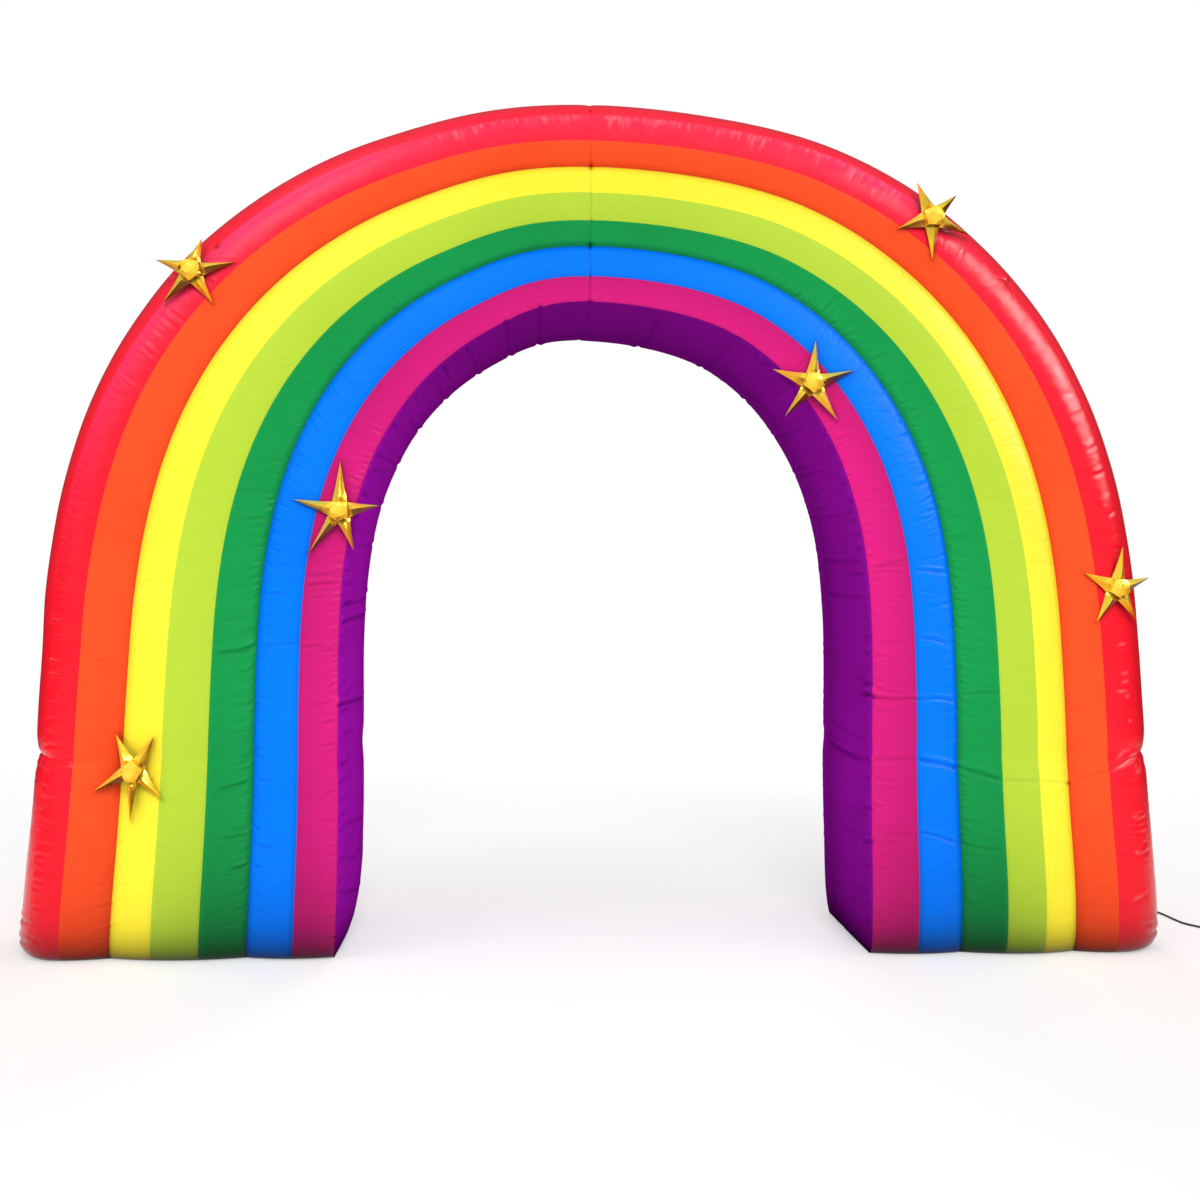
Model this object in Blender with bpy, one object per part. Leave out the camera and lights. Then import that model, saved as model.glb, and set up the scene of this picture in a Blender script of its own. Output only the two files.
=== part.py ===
"""Inflatable rainbow arch: eight air-filled bands of cloth in two sewn halves, with six gold foil stars,
a small blower in the back of the right leg and its mains lead.

Metres, +Z up. The arch faces -Y and stands on z = 0, with x = 0 at its middle.
"""
from collections import namedtuple
from math import ceil, cos, exp, pi, radians, sin, sqrt

import bmesh
import bpy
from mathutils import Matrix, Vector
from mathutils.bvhtree import BVHTree

# ------------------------------------------------------------------ driving sizes
GAP = 0.0003                 # left between neighbouring pieces
FRONT = -0.284               # y of the seam between the front and the underside
DEPTH = 0.59                 # from that seam to the matching one at the back
MIDDLE = FRONT + DEPTH / 2

# The seams between the colours, from the rim inwards. set_back is how far the seam lies behind the
# front corner seam, and right_leg is how much wider that seam stands on the right leg. Air chambers
# meet at the seams that lie back; the others are joins in the cloth across a chamber.
Seam = namedtuple("Seam", "foot right_leg crown set_back")
SEAMS = (
    Seam(foot=1.514, right_leg=-0.004, crown=2.216, set_back=0.000),   # outside of the rim
    Seam(foot=1.368, right_leg=-0.030, crown=2.073, set_back=-0.020),  # red to orange
    Seam(foot=1.250, right_leg=-0.015, crown=2.012, set_back=0.006),   # orange to yellow, chambers meet
    Seam(foot=1.143, right_leg=0.002, crown=1.942, set_back=-0.024),   # yellow to lime
    Seam(foot=1.024, right_leg=0.019, crown=1.872, set_back=-0.025),   # lime to green
    Seam(foot=0.910, right_leg=0.022, crown=1.812, set_back=0.004),    # green to blue, chambers meet
    Seam(foot=0.791, right_leg=0.020, crown=1.732, set_back=-0.020),   # blue to magenta
    Seam(foot=0.688, right_leg=0.004, crown=1.670, set_back=0.000),    # magenta to the underside
)
CROWN_DEPTH = 0.65           # share of the chambers' relief that is left over the crown
LAST = len(SEAMS) - 1

# A seam's half-width at a height: it leans outwards, flares at the foot and rounds over at the crown.
LEAN = 0.393
FLARE = (0.277, 0.262)       # at the rim, at the underside
FLARE_HEIGHT = 0.5
SHOULDER = (1.60, 1.75)      # power of the height, at the rim and at the underside
ROUNDING = (2.105, 2.060)    # root of the whole, at the rim and at the underside

# Where the arch stands a little wider or narrower than that. position runs up the leg in metres and
# on round the crown, where it is TOP_POSITION. seams is how many seams feel it, fading from the rim.
Sway = namedtuple("Sway", "side position spread amount seams")
SWAYS = (
    Sway(side=1, position=0.22, spread=0.20, amount=0.010, seams=50),
    Sway(side=1, position=0.80, spread=0.22, amount=-0.005, seams=50),
    Sway(side=1, position=1.75, spread=0.20, amount=0.004, seams=50),
    Sway(side=-1, position=0.22, spread=0.20, amount=0.006, seams=50),
    Sway(side=-1, position=0.74, spread=0.20, amount=-0.003, seams=50),
    Sway(side=-1, position=1.22, spread=0.22, amount=0.003, seams=50),
    Sway(side=-1, position=1.75, spread=0.20, amount=-0.003, seams=50),
    Sway(side=-1, position=1.22, spread=0.40, amount=0.014, seams=2),
)
TOP_POSITION = 2.1

Band = namedtuple("Band", "name colour lobe")
BANDS = (                    # lobe is how far the cloth crowns between its two seams
    Band("red", (238, 12, 34), 0.0000),
    Band("orange", (255, 84, 38), 0.0065),
    Band("yellow", (255, 236, 30), 0.0040),
    Band("lime", (176, 216, 52), 0.0040),
    Band("green", (18, 140, 66), 0.0040),
    Band("blue", (0, 118, 245), 0.0060),
    Band("magenta", (206, 30, 128), 0.0050),
    Band("purple", (112, 12, 134), 0.0300),
)
LOBE_STEPS = 4
RIM_STEPS = 12
RIM_POWER = 2.6              # squareness of the rim's section
MITRE = 0.05                 # depth of the chamber behind the underside
UNDERSIDE_SEAM = 0.67        # the underside's own seam, as a share of the depth
UNDERSIDE_SEAM_DIP = 0.007
UNDERSIDE_ROWS = (0.12, 0.30, 0.48, 0.61, UNDERSIDE_SEAM, 0.73, 0.88)

# Where the arch is measured across: level lines up the legs, then lines fanning from SPRING.
SPRING = 0.90
LEG_LEVELS = (0.0, 0.010, 0.035, 0.090, 0.200, 0.330, 0.455, 0.525, 0.595, 0.740, 0.900)
FAN_ANGLES = (10, 20, 30, 40, 50, 60, 70, 79, 86, 90)

# The foot's lower edges curve under, and the rim's corner is rounded.
TUCK_HEIGHT = 0.20
TUCK_FRONT = 0.070
TUCK_BACK = 0.040
CORNER = 0.050

# Cross creases where the legs buckle a little, and the seam over the crown.
Crease = namedtuple("Crease", "side height depth across")
CREASES = (                  # across is the depth left at the underside, as a share
    Crease(side=-1, height=0.515, depth=0.014, across=0.2),
    Crease(side=1, height=0.535, depth=0.015, across=0.8),
)
CREASE_WIDTH = 0.045
CROWN_PINCH = 0.004
CROWN_PINCH_ANGLE = 3.0
CROWN_SEAM = -0.052          # x of the seam where the two halves meet
CROWN_SEAM_FROM = 64.0       # angle of the fan above which the cloth is cut to suit it

# Stars: where the hub is, then the points' directions (degrees anticlockwise from +X, going clockwise
# from the top point) and how far each reaches.
Star = namedtuple("Star", "name x z angles reaches")
STARS = (
    Star("star_rim_left", -1.038, 1.722, (74, 14, -57, -132, -197), (0.085, 0.108, 0.092, 0.107, 0.093)),
    Star("star_rim_right", 0.816, 1.896, (113, 43, -22, -88, -162), (0.099, 0.089, 0.107, 0.105, 0.092)),
    Star("star_inner_right", 0.512, 1.471, (85, 18, -54, -129, -199), (0.110, 0.114, 0.112, 0.108, 0.107)),
    Star("star_inner_left", -0.673, 1.134, (90, 9, -70, -126, -194), (0.125, 0.099, 0.104, 0.128, 0.118)),
    Star("star_leg_right", 1.307, 0.957, (81, 18, -56, -120, -205), (0.109, 0.092, 0.098, 0.100, 0.092)),
    Star("star_leg_left", -1.173, 0.489, (116, 60, -46, -94, -152), (0.099, 0.097, 0.098, 0.127, 0.111)),
)
STAR_WAIST = 0.030           # radius of the notches between the points
StarRing = namedtuple("StarRing", "point_scale notch_scale point_height notch_height")
STAR_RINGS = (               # from the flat back up to the hub
    StarRing(0.94, 0.94, 0.000, 0.000),
    StarRing(1.00, 1.00, 0.006, 0.010),
    StarRing(0.64, 0.90, 0.017, 0.022),
    StarRing(0.36, 0.82, 0.028, 0.031),
    StarRing(0.22, 0.60, 0.040, 0.038),
)
STAR_HEIGHT = 0.042
STAR_START = 0.20            # how far in front of the corner seam a star is before it is seated
SEAT_SAMPLES = 6

# The blower sits in a round pocket in the back of the right leg's orange band, square to the cloth.
BLOWER = Vector((1.2675, FRONT + DEPTH + 0.0157, 0.215))
BLOWER_TURN = -13.0          # degrees that it faces outwards
BLOWER_RADIUS = 0.045
BLOWER_LIP = 0.053
BLOWER_SUNK = 0.028
LIP_TOP = 0.0150
GUARD_THICKNESS = 0.003
GUARD_RINGS = (0.008, 0.016, 0.020, 0.028, 0.032, 0.041, 0.049)  # solid, open, solid ...
GUARD_SPOKES = 8
BLOWER_STEPS = 32
RELIEF_ANGLE = 35.0          # degrees from straight down, towards the outside of the leg
RELIEF_LENGTH = 0.035
RELIEF_RADII = (0.0065, 0.0040)

# The mains lead: out of the strain relief, down to the floor, round the leg's back corner and away.
LEAD_RADIUS = 0.003
LEAD_SPACING = 0.015
LEAD_ROUTE = (               # after the strain relief; on the floor from the fifth point
    (1.350, 0.348, 0.092),
    (1.379, 0.359, 0.052),
    (1.410, 0.371, 0.019),
    (1.446, 0.380, 0.0046),
    (1.488, 0.381, 0.0032),
    (1.533, 0.372, 0.0032),
    (1.577, 0.350, 0.0032),
    (1.617, 0.316, 0.0032),
    (1.648, 0.272, 0.0032),
    (1.665, 0.224, 0.0032),
    (1.670, 0.174, 0.0032),
    (1.672, 0.124, 0.0032),
    (1.679, 0.077, 0.0032),
    (1.703, 0.035, 0.0032),
    (1.728, 0.003, 0.0032),
)
COIL_CENTRE = Vector((1.790, -0.038, 0.0))
COIL_INNER = 0.020
COIL_OUTER = 0.044
COIL_HEIGHT = 0.0118
COIL_STEPS = 40
COIL_JOINS_AT = 185.0        # degrees round the coil where the lead meets it
PLUG_ANGLE = 300.0           # degrees round the coil where the plug's tail lies
PLUG_AXIS_HEIGHT = 0.0098
PLUG_TAIL_RADIUS = 0.0048
PLUG_SIDES = 12
PLUG_SECTIONS = (            # along the plug, half its width, half its height
    (0.000, 0.0036, 0.0036),
    (0.018, 0.0048, 0.0046),
    (0.021, 0.0100, 0.0080),
    (0.030, 0.0125, 0.0095),
    (0.042, 0.0125, 0.0095),
    (0.046, 0.0110, 0.0085),
)
BLADE_SIZE = (0.0015, 0.0170, 0.0063)
BLADE_APART = 0.0127


# ------------------------------------------------------------------ small tools
def between(pair, share):
    return pair[0] + (pair[1] - pair[0]) * share


def linear(channel):
    value = channel / 255
    return value / 12.92 if value <= 0.04045 else ((value + 0.055) / 1.055) ** 2.4


def material(name, colour, roughness, metallic=0.0):
    made = bpy.data.materials.new(name)
    made.use_nodes = True
    shader = made.node_tree.nodes["Principled BSDF"]
    shader.inputs["Base Color"].default_value = (*[linear(c) for c in colour], 1.0)
    shader.inputs["Roughness"].default_value = roughness
    shader.inputs["Metallic"].default_value = metallic
    return made


def add_object(name, mesh, finish, parent, smooth_angle=None):
    mesh.materials.append(finish)
    if smooth_angle is not None:
        mesh.shade_smooth()
        mesh.set_sharp_from_angle(angle=radians(smooth_angle))
    made = bpy.data.objects.new(name, mesh)
    bpy.context.scene.collection.objects.link(made)
    made.parent = parent
    return made


def mesh_from(name, points, faces):
    mesh = bpy.data.meshes.new(name)
    mesh.from_pydata([tuple(p) for p in points], [], faces)
    mesh.validate()
    built = bmesh.new()
    built.from_mesh(mesh)
    bmesh.ops.recalc_face_normals(built, faces=built.faces)
    built.to_mesh(mesh)
    built.free()
    return mesh


def skin(name, rings, other_diagonal=False):
    """One closed solid through a row of equal rings, capped at both ends."""
    count = len(rings[0])
    points = [p for ring in rings for p in ring]
    faces = [tuple(range(count)), tuple(range(len(points) - count, len(points)))]
    for r in range(len(rings) - 1):
        for i in range(count):
            j = (i + 1) % count
            a, b = r * count + i, r * count + j
            c, d = a + count, b + count
            if other_diagonal:
                faces += [(a, b, c), (b, d, c)]
            else:
                faces += [(a, b, d), (a, d, c)]
    return mesh_from(name, points, faces)


def turned(name, profile, steps):
    """A solid of revolution about +Z from (radius, z) pairs, which start and end on the axis."""
    points = [Vector((0, 0, profile[0][1])), Vector((0, 0, profile[-1][1]))]
    inner = profile[1:-1]
    for radius, z in inner:
        for k in range(steps):
            angle = 2 * pi * k / steps
            points.append(Vector((radius * cos(angle), radius * sin(angle), z)))
    faces = []
    for k in range(steps):
        n = (k + 1) % steps
        faces.append((0, 2 + n, 2 + k))
        last = 2 + (len(inner) - 1) * steps
        faces.append((1, last + k, last + n))
        for r in range(len(inner) - 1):
            row = 2 + r * steps
            faces.append((row + k, row + n, row + steps + n, row + steps + k))
    return mesh_from(name, points, faces)


# ------------------------------------------------------------------ the arch's own shape
def half_width(index, z, side):
    seam = SEAMS[index]
    share = index / LAST
    foot = seam.foot + (seam.right_leg if side > 0 else 0.0)
    straight = foot + LEAN * z - between(FLARE, share) * (1 - exp(-z / FLARE_HEIGHT))
    rise = min(z / seam.crown, 1.0)
    width = straight * (1 - rise ** between(SHOULDER, share)) ** (1 / between(ROUNDING, share))
    if index == 0 and z < CORNER:
        width -= CORNER * (1 - sqrt(1 - (1 - z / CORNER) ** 2))
    return width


def sway(index, station, side):
    kind, value = station
    position = value if kind == "level" else between((SPRING, TOP_POSITION), value / 90)
    total = 0.0
    for row in SWAYS:
        if row.side == side:
            felt = max(0.0, 1 - index / row.seams)
            total += felt * row.amount * exp(-((position - row.position) / row.spread) ** 2)
    return total


def seam_point(index, station, side):
    """Where a seam crosses a station's line, as (x, z) with x taken outwards."""
    kind, value = station
    wider = outward(station) * sway(index, station, side)
    if kind == "level":
        return Vector((half_width(index, value, side), value)) + wider
    angle = radians(value)
    low, high = 0.0, (SEAMS[index].crown - SPRING) / sin(angle)
    for _ in range(40):
        middle = (low + high) / 2
        inside = half_width(index, SPRING + middle * sin(angle), side) > middle * cos(angle)
        low, high = (middle, high) if inside else (low, middle)
    return Vector((low * cos(angle), SPRING + low * sin(angle))) + wider


def relief(station):
    """Share of the chambers' relief at a station."""
    kind, value = station
    return 1.0 if kind == "level" else between((1.0, CROWN_DEPTH), sin(radians(value)) ** 2)


def outward(station):
    kind, value = station
    angle = 0.0 if kind == "level" else radians(value)
    return Vector((cos(angle), sin(angle)))


def drawn_in(share, station, side):
    """How far creases and the crown seam pull the cloth in, at a share of the way to the underside."""
    kind, value = station
    if kind == "fan":
        return CROWN_PINCH * exp(-((90 - value) / CROWN_PINCH_ANGLE) ** 2)
    total = 0.0
    for crease in CREASES:
        if crease.side == side:
            strength = crease.depth * between((1.0, crease.across), share)
            total += strength * exp(-((value - crease.height) / CREASE_WIDTH) ** 2)
    return total


def tucked(y, station):
    """Draws a depth in where the foot's front and back edges curve under."""
    kind, value = station
    if kind == "fan" or value >= TUCK_HEIGHT:
        return y
    under = 1 - sqrt(1 - (1 - value / TUCK_HEIGHT) ** 2)
    from_middle = (y - MIDDLE) / (DEPTH / 2)
    return y - from_middle * under * (TUCK_FRONT if from_middle < 0 else TUCK_BACK)


def aside(station):
    """How far a station stands to one side, because the crown seam isn't at x = 0."""
    kind, value = station
    if kind == "level" or value <= CROWN_SEAM_FROM:
        return 0.0
    share = (value - CROWN_SEAM_FROM) / (90 - CROWN_SEAM_FROM)
    return CROWN_SEAM * share * share * (3 - 2 * share)


def placed(flat, y, station, side):
    x = max(flat.x, GAP / 2)
    return Vector((side * x + aside(station), tucked(y, station), flat.y))


def lobe_section(number, station, side):
    """Section of a band between two seams: crowned at front and back, straight at the seams."""
    share = (number + 0.5) / LAST
    out = outward(station)
    outer = seam_point(number, station, side) - out * (GAP / 2)
    inner = seam_point(number + 1, station, side) + out * (GAP / 2)
    raised = relief(station)
    backs = (SEAMS[number].set_back * raised, SEAMS[number + 1].set_back * raised)
    pulled = drawn_in(share, station, side)
    front, back = [], []
    for step in range(LOBE_STEPS + 1):
        t = step / LOBE_STEPS
        crown = (BANDS[number].lobe * raised - pulled) * (1 - (2 * t - 1) ** 2)
        set_back = between(backs, t) - crown
        flat = outer.lerp(inner, t)
        front.append(placed(flat, FRONT + set_back, station, side))
        back.append(placed(flat, FRONT + DEPTH - set_back, station, side))
    if number < LAST - 1:
        return front + back[::-1]
    wall = inner + out * MITRE
    return front + [
        placed(wall, FRONT + MITRE, station, side),
        placed(wall, FRONT + DEPTH - MITRE, station, side),
    ] + back[::-1]


def rim_section(station, side):
    """Section of the red band: round on the outside, straight at its seam."""
    out = outward(station)
    foot = seam_point(1, station, side) + out * (GAP / 2)
    pulled = drawn_in(0.0, station, side)
    reach = (seam_point(0, station, side) - foot).length - pulled
    half = DEPTH / 2 - SEAMS[1].set_back * relief(station)
    section = []
    for step in range(RIM_STEPS + 1):
        angle = pi * (step / RIM_STEPS - 0.5)
        away = reach * max(cos(angle), 0.0) ** (2 / RIM_POWER)
        along = half * abs(sin(angle)) ** (2 / RIM_POWER) * (1 if angle > 0 else -1)
        section.append(placed(foot + out * away, MIDDLE + along, station, side))
    return section


def underside_section(station, side):
    """Section of the purple band: a shallow chamber that fills out between the corner seams."""
    out = outward(station)
    corner = seam_point(LAST, station, side) - out * (GAP / 2)
    kind, value = station
    fill = BANDS[-1].lobe - drawn_in(1.0, station, side)
    if kind == "level":
        fill *= min(1.0, sqrt(value / TUCK_HEIGHT))
    clear = 0.6 * GAP
    section = [placed(corner, FRONT + clear, station, side)]
    for row in UNDERSIDE_ROWS:
        crown = fill * sin(pi * row) ** 0.8
        if row == UNDERSIDE_SEAM:
            crown -= UNDERSIDE_SEAM_DIP * min(1.0, crown / UNDERSIDE_SEAM_DIP)
        section.append(placed(corner - out * crown, FRONT + DEPTH * row, station, side))
    section.append(placed(corner, FRONT + DEPTH - clear, station, side))
    wall = corner + out * MITRE
    section.append(placed(wall, FRONT + DEPTH - MITRE - clear, station, side))
    section.append(placed(wall, FRONT + MITRE + clear, station, side))
    return section


def band_mesh(number, side):
    stations = [("level", z) for z in LEG_LEVELS] + [("fan", a) for a in FAN_ANGLES]
    if number == 0:
        rings = [rim_section(s, side) for s in stations]
    elif number == LAST:
        rings = [underside_section(s, side) for s in stations]
    else:
        rings = [lobe_section(number, s, side) for s in stations]
    return skin(BANDS[number].name, rings, other_diagonal=(number == LAST))


# ------------------------------------------------------------------ stars
def star_outline(star):
    """The star's five points and the notches between them, from the top point clockwise."""
    corners = []
    for k in range(5):
        angle = star.angles[k]
        after = star.angles[k + 1] if k < 4 else star.angles[0] - 360
        for direction, reach in ((angle, star.reaches[k]), ((angle + after) / 2, STAR_WAIST)):
            corners.append((reach * cos(radians(direction)), reach * sin(radians(direction))))
    return corners


def star_mesh(star):
    """A ridged five-point star in the XZ plane, flat at the back (y = 0), its hub towards -Y."""
    points = []
    for ring in STAR_RINGS:
        for k, (x, z) in enumerate(star_outline(star)):
            at_point = k % 2 == 0
            scale = ring.point_scale if at_point else ring.notch_scale
            height = ring.point_height if at_point else ring.notch_height
            points.append((x * scale, -height, z * scale))
    points.append((0.0, -STAR_HEIGHT, 0.0))
    hub = len(points) - 1
    faces = [tuple(range(10))]
    for row in range(len(STAR_RINGS) - 1):
        for k in range(10):
            a, b = row * 10 + k, row * 10 + (k + 1) % 10
            if k % 2 == 0:
                faces += [(a, b, a + 10), (b, b + 10, a + 10)]
            else:
                faces += [(a, b, b + 10), (a, b + 10, a + 10)]
    top = (len(STAR_RINGS) - 1) * 10
    faces += [(top + k, top + (k + 1) % 10, hub) for k in range(10)]
    return mesh_from(star.name, points, faces)


def seat_against(star, cloth, cloth_points):
    """Slides a star along +Y until it is GAP away from the cloth."""
    back = Vector((0, 1, 0))
    corners = [star.matrix_basis @ v.co for v in star.data.vertices]
    faces = [tuple(p.vertices) for p in star.data.polygons]
    slides = []
    for face in faces:
        middle = sum((corners[i] for i in face), Vector()) / len(face)
        for a, b in zip(face, face[1:] + face[:1]):
            for step in range(SEAT_SAMPLES):
                edge = corners[a].lerp(corners[b], step / SEAT_SAMPLES)
                for inward in range(SEAT_SAMPLES):
                    probe = edge.lerp(middle, inward / SEAT_SAMPLES)
                    slides.append(cloth.ray_cast(probe, back)[3])
    solid = BVHTree.FromPolygons(corners, faces)
    slides += [solid.ray_cast(point, -back)[3] for point in cloth_points]
    star.location.y += min(s for s in slides if s is not None) - GAP


def add_star(star, finish, cloth, cloth_points, parent):
    made = add_object(star.name, star_mesh(star), finish, parent)
    made.location = (star.x, FRONT - STAR_START, star.z)
    seat_against(made, cloth, cloth_points)
    return made


# ------------------------------------------------------------------ blower
def blower_matrix():
    """Local +Z points out of the cloth, and local +Y up."""
    turn = radians(BLOWER_TURN)
    out = Vector((sin(turn), cos(turn), 0.0))
    up = Vector((0, 0, 1))
    return Matrix.Translation(BLOWER) @ Matrix((up.cross(out), up, out)).transposed().to_4x4()


def relief_axis():
    """Start of the strain relief and its direction, in the blower's own frame."""
    angle = radians(RELIEF_ANGLE)
    along = Vector((-sin(angle), -cos(angle), 0.0))
    start = along * (BLOWER_LIP + GAP) + Vector((0, 0, LIP_TOP / 2))
    return start, along


def cut_pocket(band, parent):
    """Cuts the round pocket that the blower sits in."""
    radius = BLOWER_RADIUS + GAP
    mesh = turned("pocket", [
        (0, -BLOWER_SUNK - GAP), (radius, -BLOWER_SUNK - GAP), (radius, BLOWER_LIP), (0, BLOWER_LIP),
    ], BLOWER_STEPS)
    cutter = bpy.data.objects.new("pocket", mesh)
    bpy.context.scene.collection.objects.link(cutter)
    cutter.matrix_world = blower_matrix()
    cutter.parent = parent
    cutter.hide_render = True
    cutter.display_type = "WIRE"
    cut = band.modifiers.new("blower pocket", "BOOLEAN")
    cut.operation = "DIFFERENCE"
    cut.object = cutter


def guard_mesh():
    """A flat round guard: rings joined by spokes, with open slots between them."""
    steps = GUARD_SPOKES * 4
    radii = GUARD_RINGS

    def solid(ring, step):
        if ring < 0 or ring >= len(radii):
            return False
        return ring % 2 == 0 or step % 4 == 0

    built = bmesh.new()
    hub = [built.verts.new((0, 0, z)) for z in (0, GUARD_THICKNESS)]
    rows = []
    for radius in radii:
        row = []
        for step in range(steps):
            angle = 2 * pi * step / steps
            x, y = radius * cos(angle), radius * sin(angle)
            row.append([built.verts.new((x, y, z)) for z in (0, GUARD_THICKNESS)])
        rows.append(row)
    for step in range(steps):
        after = (step + 1) % steps
        for ring in range(len(radii)):
            if not solid(ring, step):
                continue
            outer_a, outer_b = rows[ring][step], rows[ring][after]
            if ring == 0:
                for z in (0, 1):
                    built.faces.new((hub[z], outer_a[z], outer_b[z]))
            else:
                inner_a, inner_b = rows[ring - 1][step], rows[ring - 1][after]
                for z in (0, 1):
                    built.faces.new((inner_a[z], outer_a[z], outer_b[z], inner_b[z]))
                if not solid(ring, step - 1):
                    built.faces.new((inner_a[0], inner_a[1], outer_a[1], outer_a[0]))
                if not solid(ring, step + 1):
                    built.faces.new((inner_b[0], inner_b[1], outer_b[1], outer_b[0]))
                if not solid(ring - 1, step):
                    built.faces.new((inner_a[0], inner_b[0], inner_b[1], inner_a[1]))
            if not solid(ring + 1, step):
                built.faces.new((outer_a[0], outer_b[0], outer_b[1], outer_a[1]))
    bmesh.ops.recalc_face_normals(built, faces=built.faces)
    mesh = bpy.data.meshes.new("blower_guard")
    built.to_mesh(mesh)
    built.free()
    return mesh


def add_blower(finish, guard_finish, parent):
    frame = blower_matrix()
    edge = 0.002
    housing = turned("blower_housing", [
        (0, -BLOWER_SUNK), (BLOWER_RADIUS, -BLOWER_SUNK), (BLOWER_RADIUS, 0.0),
        (BLOWER_LIP, 0.0), (BLOWER_LIP, LIP_TOP - edge), (BLOWER_LIP - edge, LIP_TOP), (0, LIP_TOP),
    ], BLOWER_STEPS)
    add_object("blower_housing", housing, finish, parent, 30).matrix_basis = frame
    guard = add_object("blower_guard", guard_mesh(), guard_finish, parent)
    guard.matrix_basis = frame @ Matrix.Translation((0, 0, LIP_TOP + GAP))
    start, along = relief_axis()
    wide, narrow = RELIEF_RADII
    relief = turned("strain_relief", [
        (0, 0), (wide, 0), (wide, RELIEF_LENGTH * 0.2), (narrow, RELIEF_LENGTH), (0, RELIEF_LENGTH),
    ], 12)
    stand = along.to_track_quat("Z", "Y").to_matrix().to_4x4()
    made = add_object("strain_relief", relief, guard_finish, parent, 40)
    made.matrix_basis = frame @ Matrix.Translation(start) @ stand


# ------------------------------------------------------------------ mains lead
def smooth_route(points, spacing):
    """Evenly spaced points on one smooth curve through the route's own points."""
    ends = [points[0] * 2 - points[1]] + points + [points[-1] * 2 - points[-2]]
    fine = []
    for p0, p1, p2, p3 in zip(ends, ends[1:], ends[2:], ends[3:]):
        for step in range(16):
            t = step / 16
            fine.append(0.5 * (
                2 * p1 + (p2 - p0) * t + (2 * p0 - 5 * p1 + 4 * p2 - p3) * t * t
                + (3 * p1 - p0 - 3 * p2 + p3) * t * t * t
            ))
    fine.append(points[-1])
    total = sum((b - a).length for a, b in zip(fine, fine[1:]))
    count = ceil(total / spacing)
    placed_at, walked, wanted = [fine[0]], 0.0, total / count
    for a, b in zip(fine, fine[1:]):
        length = (b - a).length
        while wanted <= walked + length + 1e-9 and len(placed_at) < count:
            placed_at.append(a.lerp(b, (wanted - walked) / length))
            wanted += total / count
        walked += length
    return placed_at + [fine[-1]]


def coil_tangent(angle, distance, height):
    """A point beside the coil, and the way that the lead runs there."""
    turn = radians(angle)
    point = COIL_CENTRE + Vector((distance * cos(turn), distance * sin(turn), height))
    return point, Vector((-sin(turn), cos(turn), 0.0))


def add_lead(finish, parent):
    start, along = relief_axis()
    frame = blower_matrix()
    leaves = frame @ (start + along * (RELIEF_LENGTH + GAP))
    straight = frame @ (start + along * (RELIEF_LENGTH + GAP + 6 * LEAD_RADIUS))
    joins, way = coil_tangent(COIL_JOINS_AT, COIL_OUTER + LEAD_RADIUS + GAP, LEAD_RADIUS + 0.0002)
    route = [leaves, straight] + [Vector(p) for p in LEAD_ROUTE] + [joins - way * 0.02, joins]
    points = smooth_route(route, LEAD_SPACING)
    curve = bpy.data.curves.new("mains_lead", "CURVE")
    curve.dimensions = "3D"
    curve.bevel_depth = LEAD_RADIUS
    curve.bevel_resolution = 2
    curve.use_fill_caps = True
    line = curve.splines.new("POLY")
    line.points.add(len(points) - 1)
    for spot, point in zip(line.points, points):
        spot.co = (*point, 1.0)
    curve.materials.append(finish)
    made = bpy.data.objects.new("mains_lead", curve)
    bpy.context.scene.collection.objects.link(made)
    made.parent = parent


def add_coil(finish, parent):
    """The wound part of the lead as one turned ring with rounded edges."""
    chamfer = COIL_HEIGHT * 0.28
    base = 0.0001
    section = [
        (COIL_OUTER - chamfer, base), (COIL_OUTER, base + chamfer),
        (COIL_OUTER, COIL_HEIGHT - chamfer), (COIL_OUTER - chamfer, COIL_HEIGHT),
        (COIL_INNER + chamfer, COIL_HEIGHT), (COIL_INNER, COIL_HEIGHT - chamfer),
        (COIL_INNER, base + chamfer), (COIL_INNER + chamfer, base),
    ]
    points, faces = [], []
    for k in range(COIL_STEPS):
        angle = 2 * pi * k / COIL_STEPS
        points += [(r * cos(angle), r * sin(angle), z) for r, z in section]
        for i in range(8):
            a, b = k * 8 + i, k * 8 + (i + 1) % 8
            after = ((k + 1) % COIL_STEPS - k) * 8
            faces.append((a, b, b + after, a + after))
    made = add_object("lead_coil", mesh_from("lead_coil", points, faces), finish, parent, 50)
    made.location = COIL_CENTRE


def box_mesh(name, size, bevel):
    built = bmesh.new()
    bmesh.ops.create_cube(built, size=1.0)
    bmesh.ops.scale(built, vec=size, verts=built.verts)
    if bevel:
        bmesh.ops.bevel(built, geom=built.edges[:], offset=bevel, segments=2, affect="EDGES", profile=0.5)
    mesh = bpy.data.meshes.new(name)
    built.to_mesh(mesh)
    built.free()
    return mesh


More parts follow.
